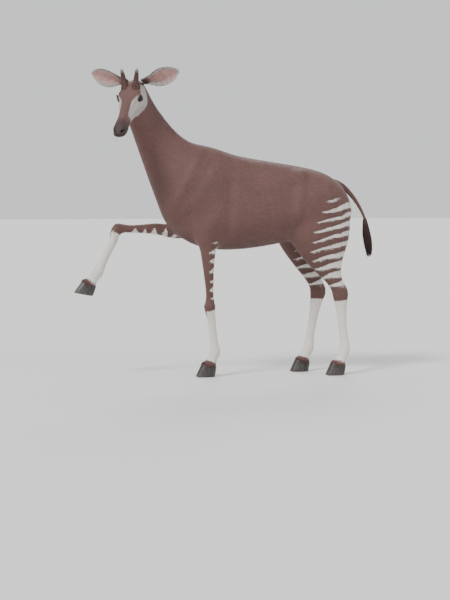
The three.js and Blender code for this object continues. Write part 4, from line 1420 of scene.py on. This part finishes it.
def ear_root_hair(sign, head, rng):
    """Longer soft hairs round the foot of the ear, which lie up it from the skull"""
    hairs = []
    out, facing, edge = ear_axes()
    for _ in range(ROOT_HAIRS):
        s = rng.uniform(-0.02, 0.13)
        t = rng.uniform(-1, 1)
        root = ear_point(max(s, 0.0), t, 0.0, head) + out * min(s, 0) * head.ear_length
        outer = unit(root - ear_point(max(s, 0.0), t, head.ear_wall, head))
        way = unit(out + outer * rng.uniform(0.15, 0.5) + edge * rng.normal(0, 0.2))
        length = rng.uniform(0.014, 0.026)
        place = (0.1 + 6 * s, 0.5 + 0.5 * t)
        hairs.append(side_hair(sign, root - outer * 0.003, way, length, -outer * 0.3, place))
    return hair_mesh("ear_root_hair", hairs, HEAD)


def ear_fur(sign, head, rng):
    """Short dark hairs that lie on the back of the ear, towards its tip, and stand off its edge"""
    hairs = []
    out, facing, edge = ear_axes()
    for _ in range(EAR_FUR_HAIRS):
        s = rng.uniform(0.01, 0.99) ** 0.9
        t = rng.uniform(-0.99, 0.99)
        root = ear_point(s, t, 0.0003, head)
        outer = unit(root - ear_point(s, t, head.ear_wall, head))
        way = unit(out + outer * rng.uniform(0.05, 0.22) + edge * rng.normal(0, 0.12))
        length = rng.uniform(0.007, 0.013)
        hairs.append(side_hair(sign, root, way, length, -outer * 0.12, (s, 0.5 + 0.5 * t)))
    return hair_mesh("ear_fur", hairs, HEAD)


class OKAPI_OT_ears(bpy.types.Operator):
    """Make the two cupped ears and the pale hairs along their edges"""

    bl_idname = "okapi.ears"
    bl_label = "Ears"

    def execute(self, context):
        coat = context.scene.okapi_coat
        head = context.scene.okapi_head
        leaf = ear_material(coat, head)
        hair = hair_material("okapi_ear_fringe", coat.grey, coat.white)
        fur = hair_material("okapi_ear_fur", tone(coat.brown, 0.8), tone(coat.brown, 0.6), 0.6)
        rng = np.random.default_rng(5)
        for word, sign in SIDES.items():
            add_piece(f"ear_fur_{word}", ear_fur(sign, head, rng), fur)
            add_piece(f"ear_root_hair_{word}", ear_root_hair(sign, head, rng), fur)
            add_piece(f"ear_leaf_{word}", ear_mesh(sign, head), leaf, [f"ear_{word}"])
            add_piece(f"ear_fringe_{word}", ear_fringe(sign, head, rng), hair)
        return {"FINISHED"}


# Ossicones
OSSICONE_RADII = (0.029, 0.023, 0.019, 0.0165, 0.015, 0.0135, 0.012, 0.010, 0.0045)
OSSICONE_FOOT = Vector((-0.110, 0.037, 0.092))
OSSICONE_OUT = Vector((0.46, 0.14, 0.86)).normalized()
OSSICONE_SUNK = 0.024
OSSICONE_ROUND = 0.93
OSSICONE_HAIRS = 1500
OSSICONE_ROWS, OSSICONE_AROUND = 40, 36


def ossicone_point(s, turn, head):
    """A point of the left ossicone: s from its sunk foot to its tip, turn round it"""
    across = unit(np.array([0.0, 1.0, -0.16]))
    radius = spline_at(OSSICONE_RADII, s * (len(OSSICONE_RADII) - 1))
    if s > OSSICONE_ROUND:
        radius *= math.sqrt(max(1 - ((s - OSSICONE_ROUND) / (1 - OSSICONE_ROUND)) ** 2, 0.0))
    front = np.array([1.0, 0.0, 0.05]) * (1 - s) + np.array([0.88, 0.0, -0.46]) * s
    rise = s * (head.ossicone + OSSICONE_SUNK) - OSSICONE_SUNK
    at = np.array(OSSICONE_FOOT) + np.array(OSSICONE_OUT) * rise
    at[0] += 0.014 * s * (1 - s)
    radius *= 1 + 0.035 * math.sin(3 * turn + 9 * s) * (1 - s)
    return at + across * radius * math.cos(turn) + front * radius * 1.15 * math.sin(turn)


def ossicone_mesh(sign, head):
    """A skin-covered horn on a flared foot, slanting back to a blunt bare tip"""
    rows = [i / OSSICONE_ROWS for i in range(OSSICONE_ROWS + 1)]
    places = [(s, 2 * math.pi * k / OSSICONE_AROUND) for s in rows for k in range(OSSICONE_AROUND)]
    points = np.array([ossicone_point(s, turn, head) for s, turn in places]) * (1, sign, 1)
    mesh = mesh_from("ossicone", transformed(points, HEAD), tube_faces(len(rows), OSSICONE_AROUND, False))
    outward(mesh)
    carry(mesh, "along", [s for s, turn in places])
    return mesh


def ossicone_fur(sign, head, rng):
    """Short hairs that lie up the ossicone from the skull, thickest round its foot"""
    hairs = []
    for _ in range(OSSICONE_HAIRS):
        s = 0.04 + 0.66 * rng.uniform(0, 1) ** 1.7
        turn = rng.uniform(0, 2 * math.pi)
        root = ossicone_point(s, turn, head)
        up = unit(ossicone_point(s + 0.03, turn, head) - root)
        outer = unit(root - (root + ossicone_point(s, turn + math.pi, head)) / 2)
        way = unit(up + outer * rng.uniform(0.06, 0.26))
        length = rng.uniform(0.008, 0.014) * (1 - 0.4 * s)
        place = (s, round_share(turn))
        hairs.append(side_hair(sign, root - outer * 0.0004, way, length, -outer * 0.16, place))
    return hair_mesh("ossicone_fur", hairs, HEAD)


def ossicone_material(coat):
    """Short dark fur from the foot up, worn to bare polished horn at the tip"""
    paint = Paint("okapi_ossicone")
    along = paint.carried("along")
    ragged = paint.noise(130.0, 3.0)
    hair = paint.noise(380.0, 2.0, (1, 1, 0.2), HAIR_TURNS["lie_head"])
    tip = paint.step(along + (ragged - 0.5) * 0.12, 0.74, 0.80)
    fur = paint.mix(paint.step(hair * 0.6 + ragged * 0.4, 0.3, 0.7), tone(coat.brown, 0.55), coat.brown)
    fur = paint.mix(paint.step(along, 0.35, 0.8) * 0.8, fur, coat.deep)
    horn = paint.mix(paint.step(along, 0.78, 1.0), (0.10, 0.075, 0.058), (0.30, 0.25, 0.20))
    height = hair * (1 - tip) + paint.noise(80.0, 3.0, (1, 1, 0.3)) * tip * 0.5
    paint.set(Base_Color=paint.mix(tip, fur, horn), Roughness=0.66 - tip * 0.32)
    paint.set(Normal=paint.bump(height, 0.0016, 0.6))
    return paint.set(Specular_IOR_Level=0.4)


class OKAPI_OT_ossicones(bpy.types.Operator):
    """Make the two ossicones"""

    bl_idname = "okapi.ossicones"
    bl_label = "Ossicones"

    def execute(self, context):
        coat = context.scene.okapi_coat
        head = context.scene.okapi_head
        material = ossicone_material(coat)
        hair = hair_material("okapi_ossicone_fur", tone(coat.brown, 0.75), coat.brown, 0.6)
        rng = np.random.default_rng(6)
        for word, sign in SIDES.items():
            mesh = ossicone_mesh(sign, head)
            add_piece(f"horn_{word}", mesh, material, [f"ossicone_{word}"])
            add_piece(f"horn_fur_{word}", ossicone_fur(sign, head, rng), hair)
        return {"FINISHED"}


# Hooves
FLAT_ANGLE = math.radians(2)
SHARP_ANGLE = math.radians(48)
SHARPNESS = 0.75
ROUNDINGS = 3


def hoof_material():
    """Black grey horn with growth rings, scuffed towards the sole"""
    paint = Paint("okapi_hoof")
    up = paint.carried("up")
    warp = paint.noise(14.0, 2.0)
    rings = (up * 11 + warp * 5).fraction()
    ridge = (rings - 0.5).size() * 2
    scratch = paint.noise(190.0, 3.0, (1, 1, 0.15))
    scuff = paint.step(scratch + (1 - up) * 0.25, 0.55, 0.85)
    horn = paint.mix(paint.noise(30.0, 3.0), (0.012, 0.011, 0.011), (0.032, 0.028, 0.026))
    colour = paint.mix(scuff * 0.35, horn, (0.13, 0.115, 0.10))
    height = ridge * 0.22 + scratch * 0.4
    paint.set(Base_Color=colour, Roughness=0.36 + scuff * 0.28, Normal=paint.bump(height, 0.0012, 0.5))
    return paint.set(Coat_Weight=0.15, Coat_Roughness=0.35)


def claw_mesh(name):
    """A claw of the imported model, welded and rounded"""
    bm = bmesh.new()
    bm.from_mesh(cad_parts[name].data)
    bmesh.ops.remove_doubles(bm, verts=bm.verts, dist=WELD)
    bmesh.ops.dissolve_limit(bm, angle_limit=FLAT_ANGLE, verts=bm.verts, edges=bm.edges)
    bmesh.ops.recalc_face_normals(bm, faces=bm.faces)
    sharp = bm.edges.layers.float.new("crease_edge")
    for edge in bm.edges:
        if len(edge.link_faces) == 2 and edge.calc_face_angle(0.0) > SHARP_ANGLE:
            edge[sharp] = SHARPNESS
    mesh = bpy.data.meshes.new("claw")
    bm.to_mesh(mesh)
    bm.free()
    mesh = with_modifier(mesh, "SUBSURF", levels=ROUNDINGS, render_levels=ROUNDINGS)
    mesh.polygons.foreach_set("use_smooth", [True] * len(mesh.polygons))
    return mesh


class OKAPI_OT_hooves(bpy.types.Operator):
    """Make the eight claws of the cloven hooves"""

    bl_idname = "okapi.hooves"
    bl_label = "Hooves"

    def execute(self, context):
        material = hoof_material()
        for leg in LEGS:
            coronet = leg_line(leg)[0][0]
            for half in ("outer", "inner"):
                name = f"{leg}_claw_{half}"
                mesh = claw_mesh(name)
                points = points_of(mesh)
                sole_to_top = unit(coronet - points.mean(0))
                height = points @ sole_to_top
                carry(mesh, "up", (height - height.min()) / np.ptp(height))
                add_piece(f"hoof_{leg}_{half}", mesh, material, [name])
        return {"FINISHED"}


# Coat: how the tufts differ in direction, length and lift, and how wide, thick and deep set they are
TUFT_STRAY = 0.10
TUFT_LENGTHS = (0.7, 1.15)
TUFT_LIFTS = (0.5, 1.4)
TUFT_WIDTH, TUFT_LEAST_WIDTH = 0.035, 0.0007
TUFT_THICK = 0.35
TUFT_SUNK = 0.0004
# A tuft's points on the map, and its faces: a three-sided blade from foot to half its length, and its tip
TUFT_PATCH = [(0, 0), (0, 1), (0, 0.5), (0.5, 0), (0.5, 1), (0.5, 0.5), (1, 0.5)]
TUFT_SIDES = np.array([[0, 1, 4, 3], [1, 2, 5, 4], [2, 0, 3, 5]])
TUFT_ENDS = np.array([[3, 4, 6], [4, 5, 6], [5, 3, 6], [0, 2, 1]])


# The map of the coat: the strip of each part, as left, low, width and height, and the length that it shows
STRIPS = {
    "trunk": (0.01, 0.01, 0.97, 0.40, 1.45),
    "neck": (0.01, 0.44, 0.55, 0.21, 0.85),
    "head": (0.60, 0.44, 0.38, 0.21, 0.62),
}
STRIPS |= {leg: (0.01, 0.68 + 0.08 * k, 0.97, 0.07, 1.35) for k, leg in enumerate(LEGS)}
STRIP_START = 0.08
TRUNK_LINE = np.array([(-0.50, MIDDLE, 1.22), (0.75, MIDDLE, 1.12)])
NECK_LINE = np.array([(-0.36, MIDDLE, 1.20), (-0.60, 0.02, 1.80)])
HEAD_LINE = np.array([(0.0, 0.0, -0.02), (-0.52, 0.0, -0.02)])


def strip(name, length, turn):
    """Places on a part's strip of the map, from length along its middle line and turn round it"""
    left, low, width, height, shown = STRIPS[name]
    along = np.clip((length + STRIP_START) / shown, 0, 1)
    return np.stack([left + width * along, low + height * round_share(turn + math.pi)], 1)


def chart(points, shares, local):
    """Each root's place on an unwrap of the skin: a strip for the trunk, the neck, the head and each leg"""
    leg_share, neck, head = shares.T[:, :, None]
    length, far, turn = along_line(points, TRUNK_LINE)
    place = strip("trunk", length, turn)
    for name, share, line, at in (("neck", neck, NECK_LINE, points), ("head", head, HEAD_LINE, local)):
        length, far, turn = along_line(at, line)
        place = np.where(share > 0.5, strip(name, length, turn), place)
    nearest = np.full(len(points), np.inf)
    for leg in LEGS:
        length, far, turn = along_line(points, leg_line(leg)[0])
        mine = (leg_share > 0.5) & (far < nearest)[:, None]
        place = np.where(mine, strip(leg, length, turn), place)
        nearest = np.minimum(nearest, far)
    return place


def skin_arrays(skin):
    """The skin's triangles with what each corner carries"""
    mesh = skin.data
    mesh.calc_loop_triangles()
    corners = np.empty(len(mesh.loop_triangles) * 3, dtype=np.int64)
    mesh.loop_triangles.foreach_get("vertices", corners)
    carried = {}
    for name in MARKINGS + LIES:
        values = np.empty(len(mesh.vertices), dtype=np.float32)
        mesh.attributes[name].data.foreach_get("value", values)
        carried[name] = values
    lie = np.empty(len(mesh.vertices) * 3, dtype=np.float32)
    mesh.attributes["lie"].data.foreach_get("vector", lie)
    return points_of(mesh), normals_of(mesh), lie.reshape(-1, 3), corners.reshape(-1, 3), carried


def hair_lengths(points, normals, carried, local, coat):
    """How long the coat is at each point, and how far its tips stand off, as a share of the length"""
    leg, neck, head = (carried[name] for name in LIES)
    low = 1 - smooth_step(points[:, 2], 0.45, 0.75)
    crest = smooth_step(normals[:, 2], 0.25, 0.75) * neck
    belly = smooth_step(-normals[:, 2], 0.6, 0.95) * (1 - leg) * (1 - neck) * (1 - head)
    face = smooth_step(-local[:, 0], 0.10, 0.36) * head
    length = coat.length * (1 - 0.42 * leg * np.maximum(low, 0.3)) * (1 - 0.60 * head)
    length = (length + 0.014 * crest + 0.008 * belly) * (1 - 0.45 * face) + 0.012 * carried["cuff"]
    stand = 0.055 + 0.13 * crest + 0.06 * belly + 0.16 * carried["cuff"]
    return length, stand


def tuft_points(root, normal, way, size, lift):
    """Seven points for each tuft: its foot and its middle as triangles, and its tip"""
    side = np.cross(normal, way)
    wide = TUFT_WIDTH * size + TUFT_LEAST_WIDTH
    thick = normal * (wide * TUFT_THICK)[:, None]

    def at(along, across, up):
        shift = way * (size * along)[:, None] + side * (wide * across)[:, None]
        return root + shift + normal * (size * lift * up - TUFT_SUNK)[:, None]

    foot = [at(0, -1, 0), at(0, 1, 0), at(0, 0, 0) + thick]
    middle = [at(0.5, -0.8, 0.45), at(0.5, 0.8, 0.45), at(0.5, 0, 0.45) + thick]
    return np.stack([*foot, *middle, at(1, 0, 1)], 1).reshape(-1, 3)


def tuft_piece(skin_data, local, coat, rng):
    """One mesh of tufts: each a thin three-sided blade that lies along the coat"""
    points, normals, lie, corners, carried = skin_data
    length, stand = hair_lengths(points, normals, carried, local, coat)
    a, b, c = (points[corners[:, k]] for k in range(3))
    area = np.linalg.norm(np.cross(b - a, c - a), axis=1) / 2
    mean_length = length[corners].mean(1)
    bare = np.maximum(carried["muzzle"], carried["hollow"])[corners].max(1)
    weight = area / mean_length ** 1.3 * (bare < 0.3) * (1 + 9 * carried["cuff"][corners].mean(1))
    chosen = rng.choice(len(corners), size=coat.tufts, p=weight / weight.sum())
    share = rng.dirichlet((1, 1, 1), coat.tufts)

    def at_root(values):
        return np.einsum("nk,nk...->n...", share, values[corners[chosen]])

    root = at_root(points)
    normal = unit(at_root(normals))
    way = at_root(lie) + rng.normal(0, TUFT_STRAY, (coat.tufts, 3))
    way = unit(way - (way * normal).sum(1)[:, None] * normal)
    size = at_root(length) * rng.uniform(*TUFT_LENGTHS, coat.tufts)
    lift = at_root(stand) * rng.uniform(*TUFT_LIFTS, coat.tufts)
    verts = tuft_points(root, normal, way, size, lift)
    start = np.arange(coat.tufts)[:, None, None] * len(TUFT_PATCH)
    faces = [tuple(f) for f in (start + TUFT_SIDES).reshape(-1, 4)]
    faces += [tuple(f) for f in (start + TUFT_ENDS).reshape(-1, 3)]
    mesh = mesh_from("tufts", verts, faces)

    markings = {name: at_root(carried[name]) for name in MARKINGS + LIES}
    markings["tint"] = rng.uniform(0, 1, coat.tufts)
    for name, values in markings.items():
        carry(mesh, name, np.repeat(values, len(TUFT_PATCH)))
    shares = np.stack([markings[name] for name in LIES], 1)
    lay_on_map(mesh, chart(root, shares, at_root(local)), TUFT_PATCH)
    soft = np.repeat(normal, len(TUFT_PATCH), axis=0)
    mesh.normals_split_custom_set_from_vertices([tuple(n) for n in soft])
    return mesh


class OKAPI_OT_coat(bpy.types.Operator):
    """Lay the short tufts of the coat over the skin"""

    bl_idname = "okapi.coat"
    bl_label = "Coat"

    def execute(self, context):
        coat = context.scene.okapi_coat
        skin = bpy.data.objects.get("skin")
        if skin is None:
            raise RuntimeError("the coat needs the skin, which is made first")
        material = tuft_material(coat)
        data = skin_arrays(skin)
        local = to_head(data[0])
        rng = np.random.default_rng(coat.seed)
        for number in range(coat.pieces):
            mesh = tuft_piece(data, local, coat, rng)
            add_piece(f"coat_{number + 1}", mesh, material)
        return {"FINISHED"}


# Tail
TAIL_HAIRS = 1500
TAIL_STRETCH = 0.075
TAIL_ROOT = 0.0085


def tail_hairs(rng):
    """Long hairs that grow from the end of the dock and hang in a pointed tuft"""
    low, high = (np.array(corner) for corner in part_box("tail_tuft"))
    dock = node_points("tail_dock")
    end = dock[dock[:, 2] < dock[:, 2].min() + 0.012].mean(0)
    before = dock[np.abs(dock[:, 2] - end[2] - 0.06) < 0.02].mean(0)
    down = unit(end - before)
    side = unit(np.cross(down, np.array([0.0, 1.0, 0.0])))
    other = np.cross(down, side)
    tip = np.array([(low[0] + high[0]) / 2 - 0.012, (low[1] + high[1]) / 2, low[2] + 0.004])
    hairs = []
    for _ in range(TAIL_HAIRS):
        up = rng.uniform(0.0, 1.0) ** 1.4
        turn = rng.uniform(0, 2 * math.pi)
        out = side * math.cos(turn) + other * math.sin(turn)
        root = end - down * TAIL_STRETCH * up + out * (TAIL_ROOT + 0.002 * up)
        target = tip + out * rng.uniform(0.001, 0.012) + (root - end) * rng.uniform(0.1, 0.9)
        target[2] += rng.uniform(0, 0.07) * rng.uniform(0, 1)
        straight = target - root
        length = np.linalg.norm(straight)
        way = unit(straight / length + out * rng.uniform(0.10, 0.26))
        hairs.append((root, way, length, straight / length - way, (up, round_share(turn))))
    mesh = hair_mesh("tail_hairs", hairs, Matrix.Identity(4))
    tints = rng.uniform(0, 1, TAIL_HAIRS)
    carry(mesh, "tint", np.repeat(tints, len(mesh.vertices) // TAIL_HAIRS))
    return mesh


class OKAPI_OT_tail(bpy.types.Operator):
    """Make the tuft of long dark hairs at the end of the tail"""

    bl_idname = "okapi.tail"
    bl_label = "Tail tuft"

    def execute(self, context):
        coat = context.scene.okapi_coat
        hair = hair_material("okapi_tail_tuft", tone(coat.brown, 0.7), tone(coat.deep, 0.8))
        mesh = tail_hairs(np.random.default_rng(9))
        add_piece("tail_hairs", mesh, hair, ["tail_tuft"])
        return {"FINISHED"}


# Stage: the lights by azimuth, elevation, strength, softness and colour, angles in degrees
SUNS = {
    "key": (-52, 44, 2.7, 14, (1.0, 0.97, 0.93)),
    "fill": (38, 25, 0.45, 40, (1.0, 1.0, 1.0)),
    "rim": (165, 38, 1.0, 20, (1.0, 1.0, 1.0)),
}
SKY_COLOUR = (0.97, 0.98, 1.0, 1.0)
SKY_STRENGTH = 0.92
FLOOR_HALF = 80.0
SENSOR = 36.0
AIM = Vector((-0.05, 0.0, 0.50))


def add_sun(name, azimuth, elevation, strength, softness, colour):
    """A soft far light; the azimuth is 0 in front of the animal's left side and grows to its tail"""
    light = bpy.data.lights.new(name, "SUN")
    light.energy = strength
    light.angle = math.radians(softness)
    light.color = colour
    lamp = bpy.data.objects.new(name, light)
    back = view_from(math.radians(azimuth), math.radians(elevation))
    lamp.rotation_euler = back.to_track_quat("Z", "Y").to_euler()
    bpy.context.scene.collection.objects.link(lamp)


def view_from(a, e):
    """The direction from the animal to something at an azimuth and an elevation"""
    return Vector((math.sin(a) * math.cos(e), -math.cos(a) * math.cos(e), math.sin(e)))


class OKAPI_OT_stage(bpy.types.Operator):
    """Set up the pale floor, the soft lights and the camera"""

    bl_idname = "okapi.stage"
    bl_label = "Stage"

    def execute(self, context):
        stage = context.scene.okapi_stage
        flat = np.array([(-1, -1, 0), (1, -1, 0), (1, 1, 0), (-1, 1, 0)]) * FLOOR_HALF
        floor = bpy.data.objects.new("floor", mesh_from("floor", flat, [(0, 1, 2, 3)], False))
        context.scene.collection.objects.link(floor)
        paint = Paint("stage_floor")
        colour = paint.mix(paint.noise(3.0, 2.0), tone(stage.floor, 0.985), stage.floor)
        floor.data.materials.append(paint.set(Base_Color=colour, Roughness=0.9))

        world = bpy.data.worlds.new("studio")
        world.use_nodes = True
        sky = world.node_tree.nodes["Background"].inputs
        sky["Color"].default_value = SKY_COLOUR
        sky["Strength"].default_value = SKY_STRENGTH
        context.scene.world = world
        for name, settings in SUNS.items():
            add_sun(name, *settings)

        back = view_from(stage.azimuth, stage.elevation)
        lens = bpy.data.cameras.new("camera")
        lens.sensor_fit = "VERTICAL"
        lens.sensor_height = SENSOR
        lens.lens = stage.lens
        camera = bpy.data.objects.new("camera", lens)
        camera.location = AIM + back * (stage.view_height * stage.lens / SENSOR)
        camera.rotation_euler = back.to_track_quat("Z", "Y").to_euler()
        context.scene.collection.objects.link(camera)
        context.scene.camera = camera
        return {"FINISHED"}


STEPS = (OKAPI_OT_stage, OKAPI_OT_skin, OKAPI_OT_eyes, OKAPI_OT_ears, OKAPI_OT_ossicones,
         OKAPI_OT_hooves, OKAPI_OT_coat, OKAPI_OT_tail)
SETTINGS = {
    "okapi_coat": OkapiCoatSettings,
    "okapi_head": OkapiHeadSettings,
    "okapi_stage": OkapiStageSettings,
}


class OKAPI_PT_panel(bpy.types.Panel):
    """Lists the steps of the okapi and their settings"""

    bl_label = "Okapi"
    bl_idname = "OKAPI_PT_panel"
    bl_space_type = "VIEW_3D"
    bl_region_type = "UI"
    bl_category = "Okapi"

    def draw(self, context):
        for name, group in SETTINGS.items():
            box = self.layout.box()
            settings = getattr(context.scene, name)
            for key in group.__annotations__:
                box.prop(settings, key)
        for step in STEPS:
            self.layout.operator(step.bl_idname)


CLASSES = (*SETTINGS.values(), *STEPS, OKAPI_PT_panel)


def register():
    for item in CLASSES:
        bpy.utils.register_class(item)
    for name, group in SETTINGS.items():
        setattr(bpy.types.Scene, name, PointerProperty(type=group))


def unregister():
    for name in SETTINGS:
        delattr(bpy.types.Scene, name)
    for item in reversed(CLASSES):
        bpy.utils.unregister_class(item)


def corners(box):
    """A box's two corners as plain lists"""
    return [list(corner) for corner in box]


def main():
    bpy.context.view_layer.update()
    register()
    for step in STEPS:
        family, name = step.bl_idname.split(".")
        getattr(getattr(bpy.ops, family), name)()


if __name__ == "__main__":
    main()
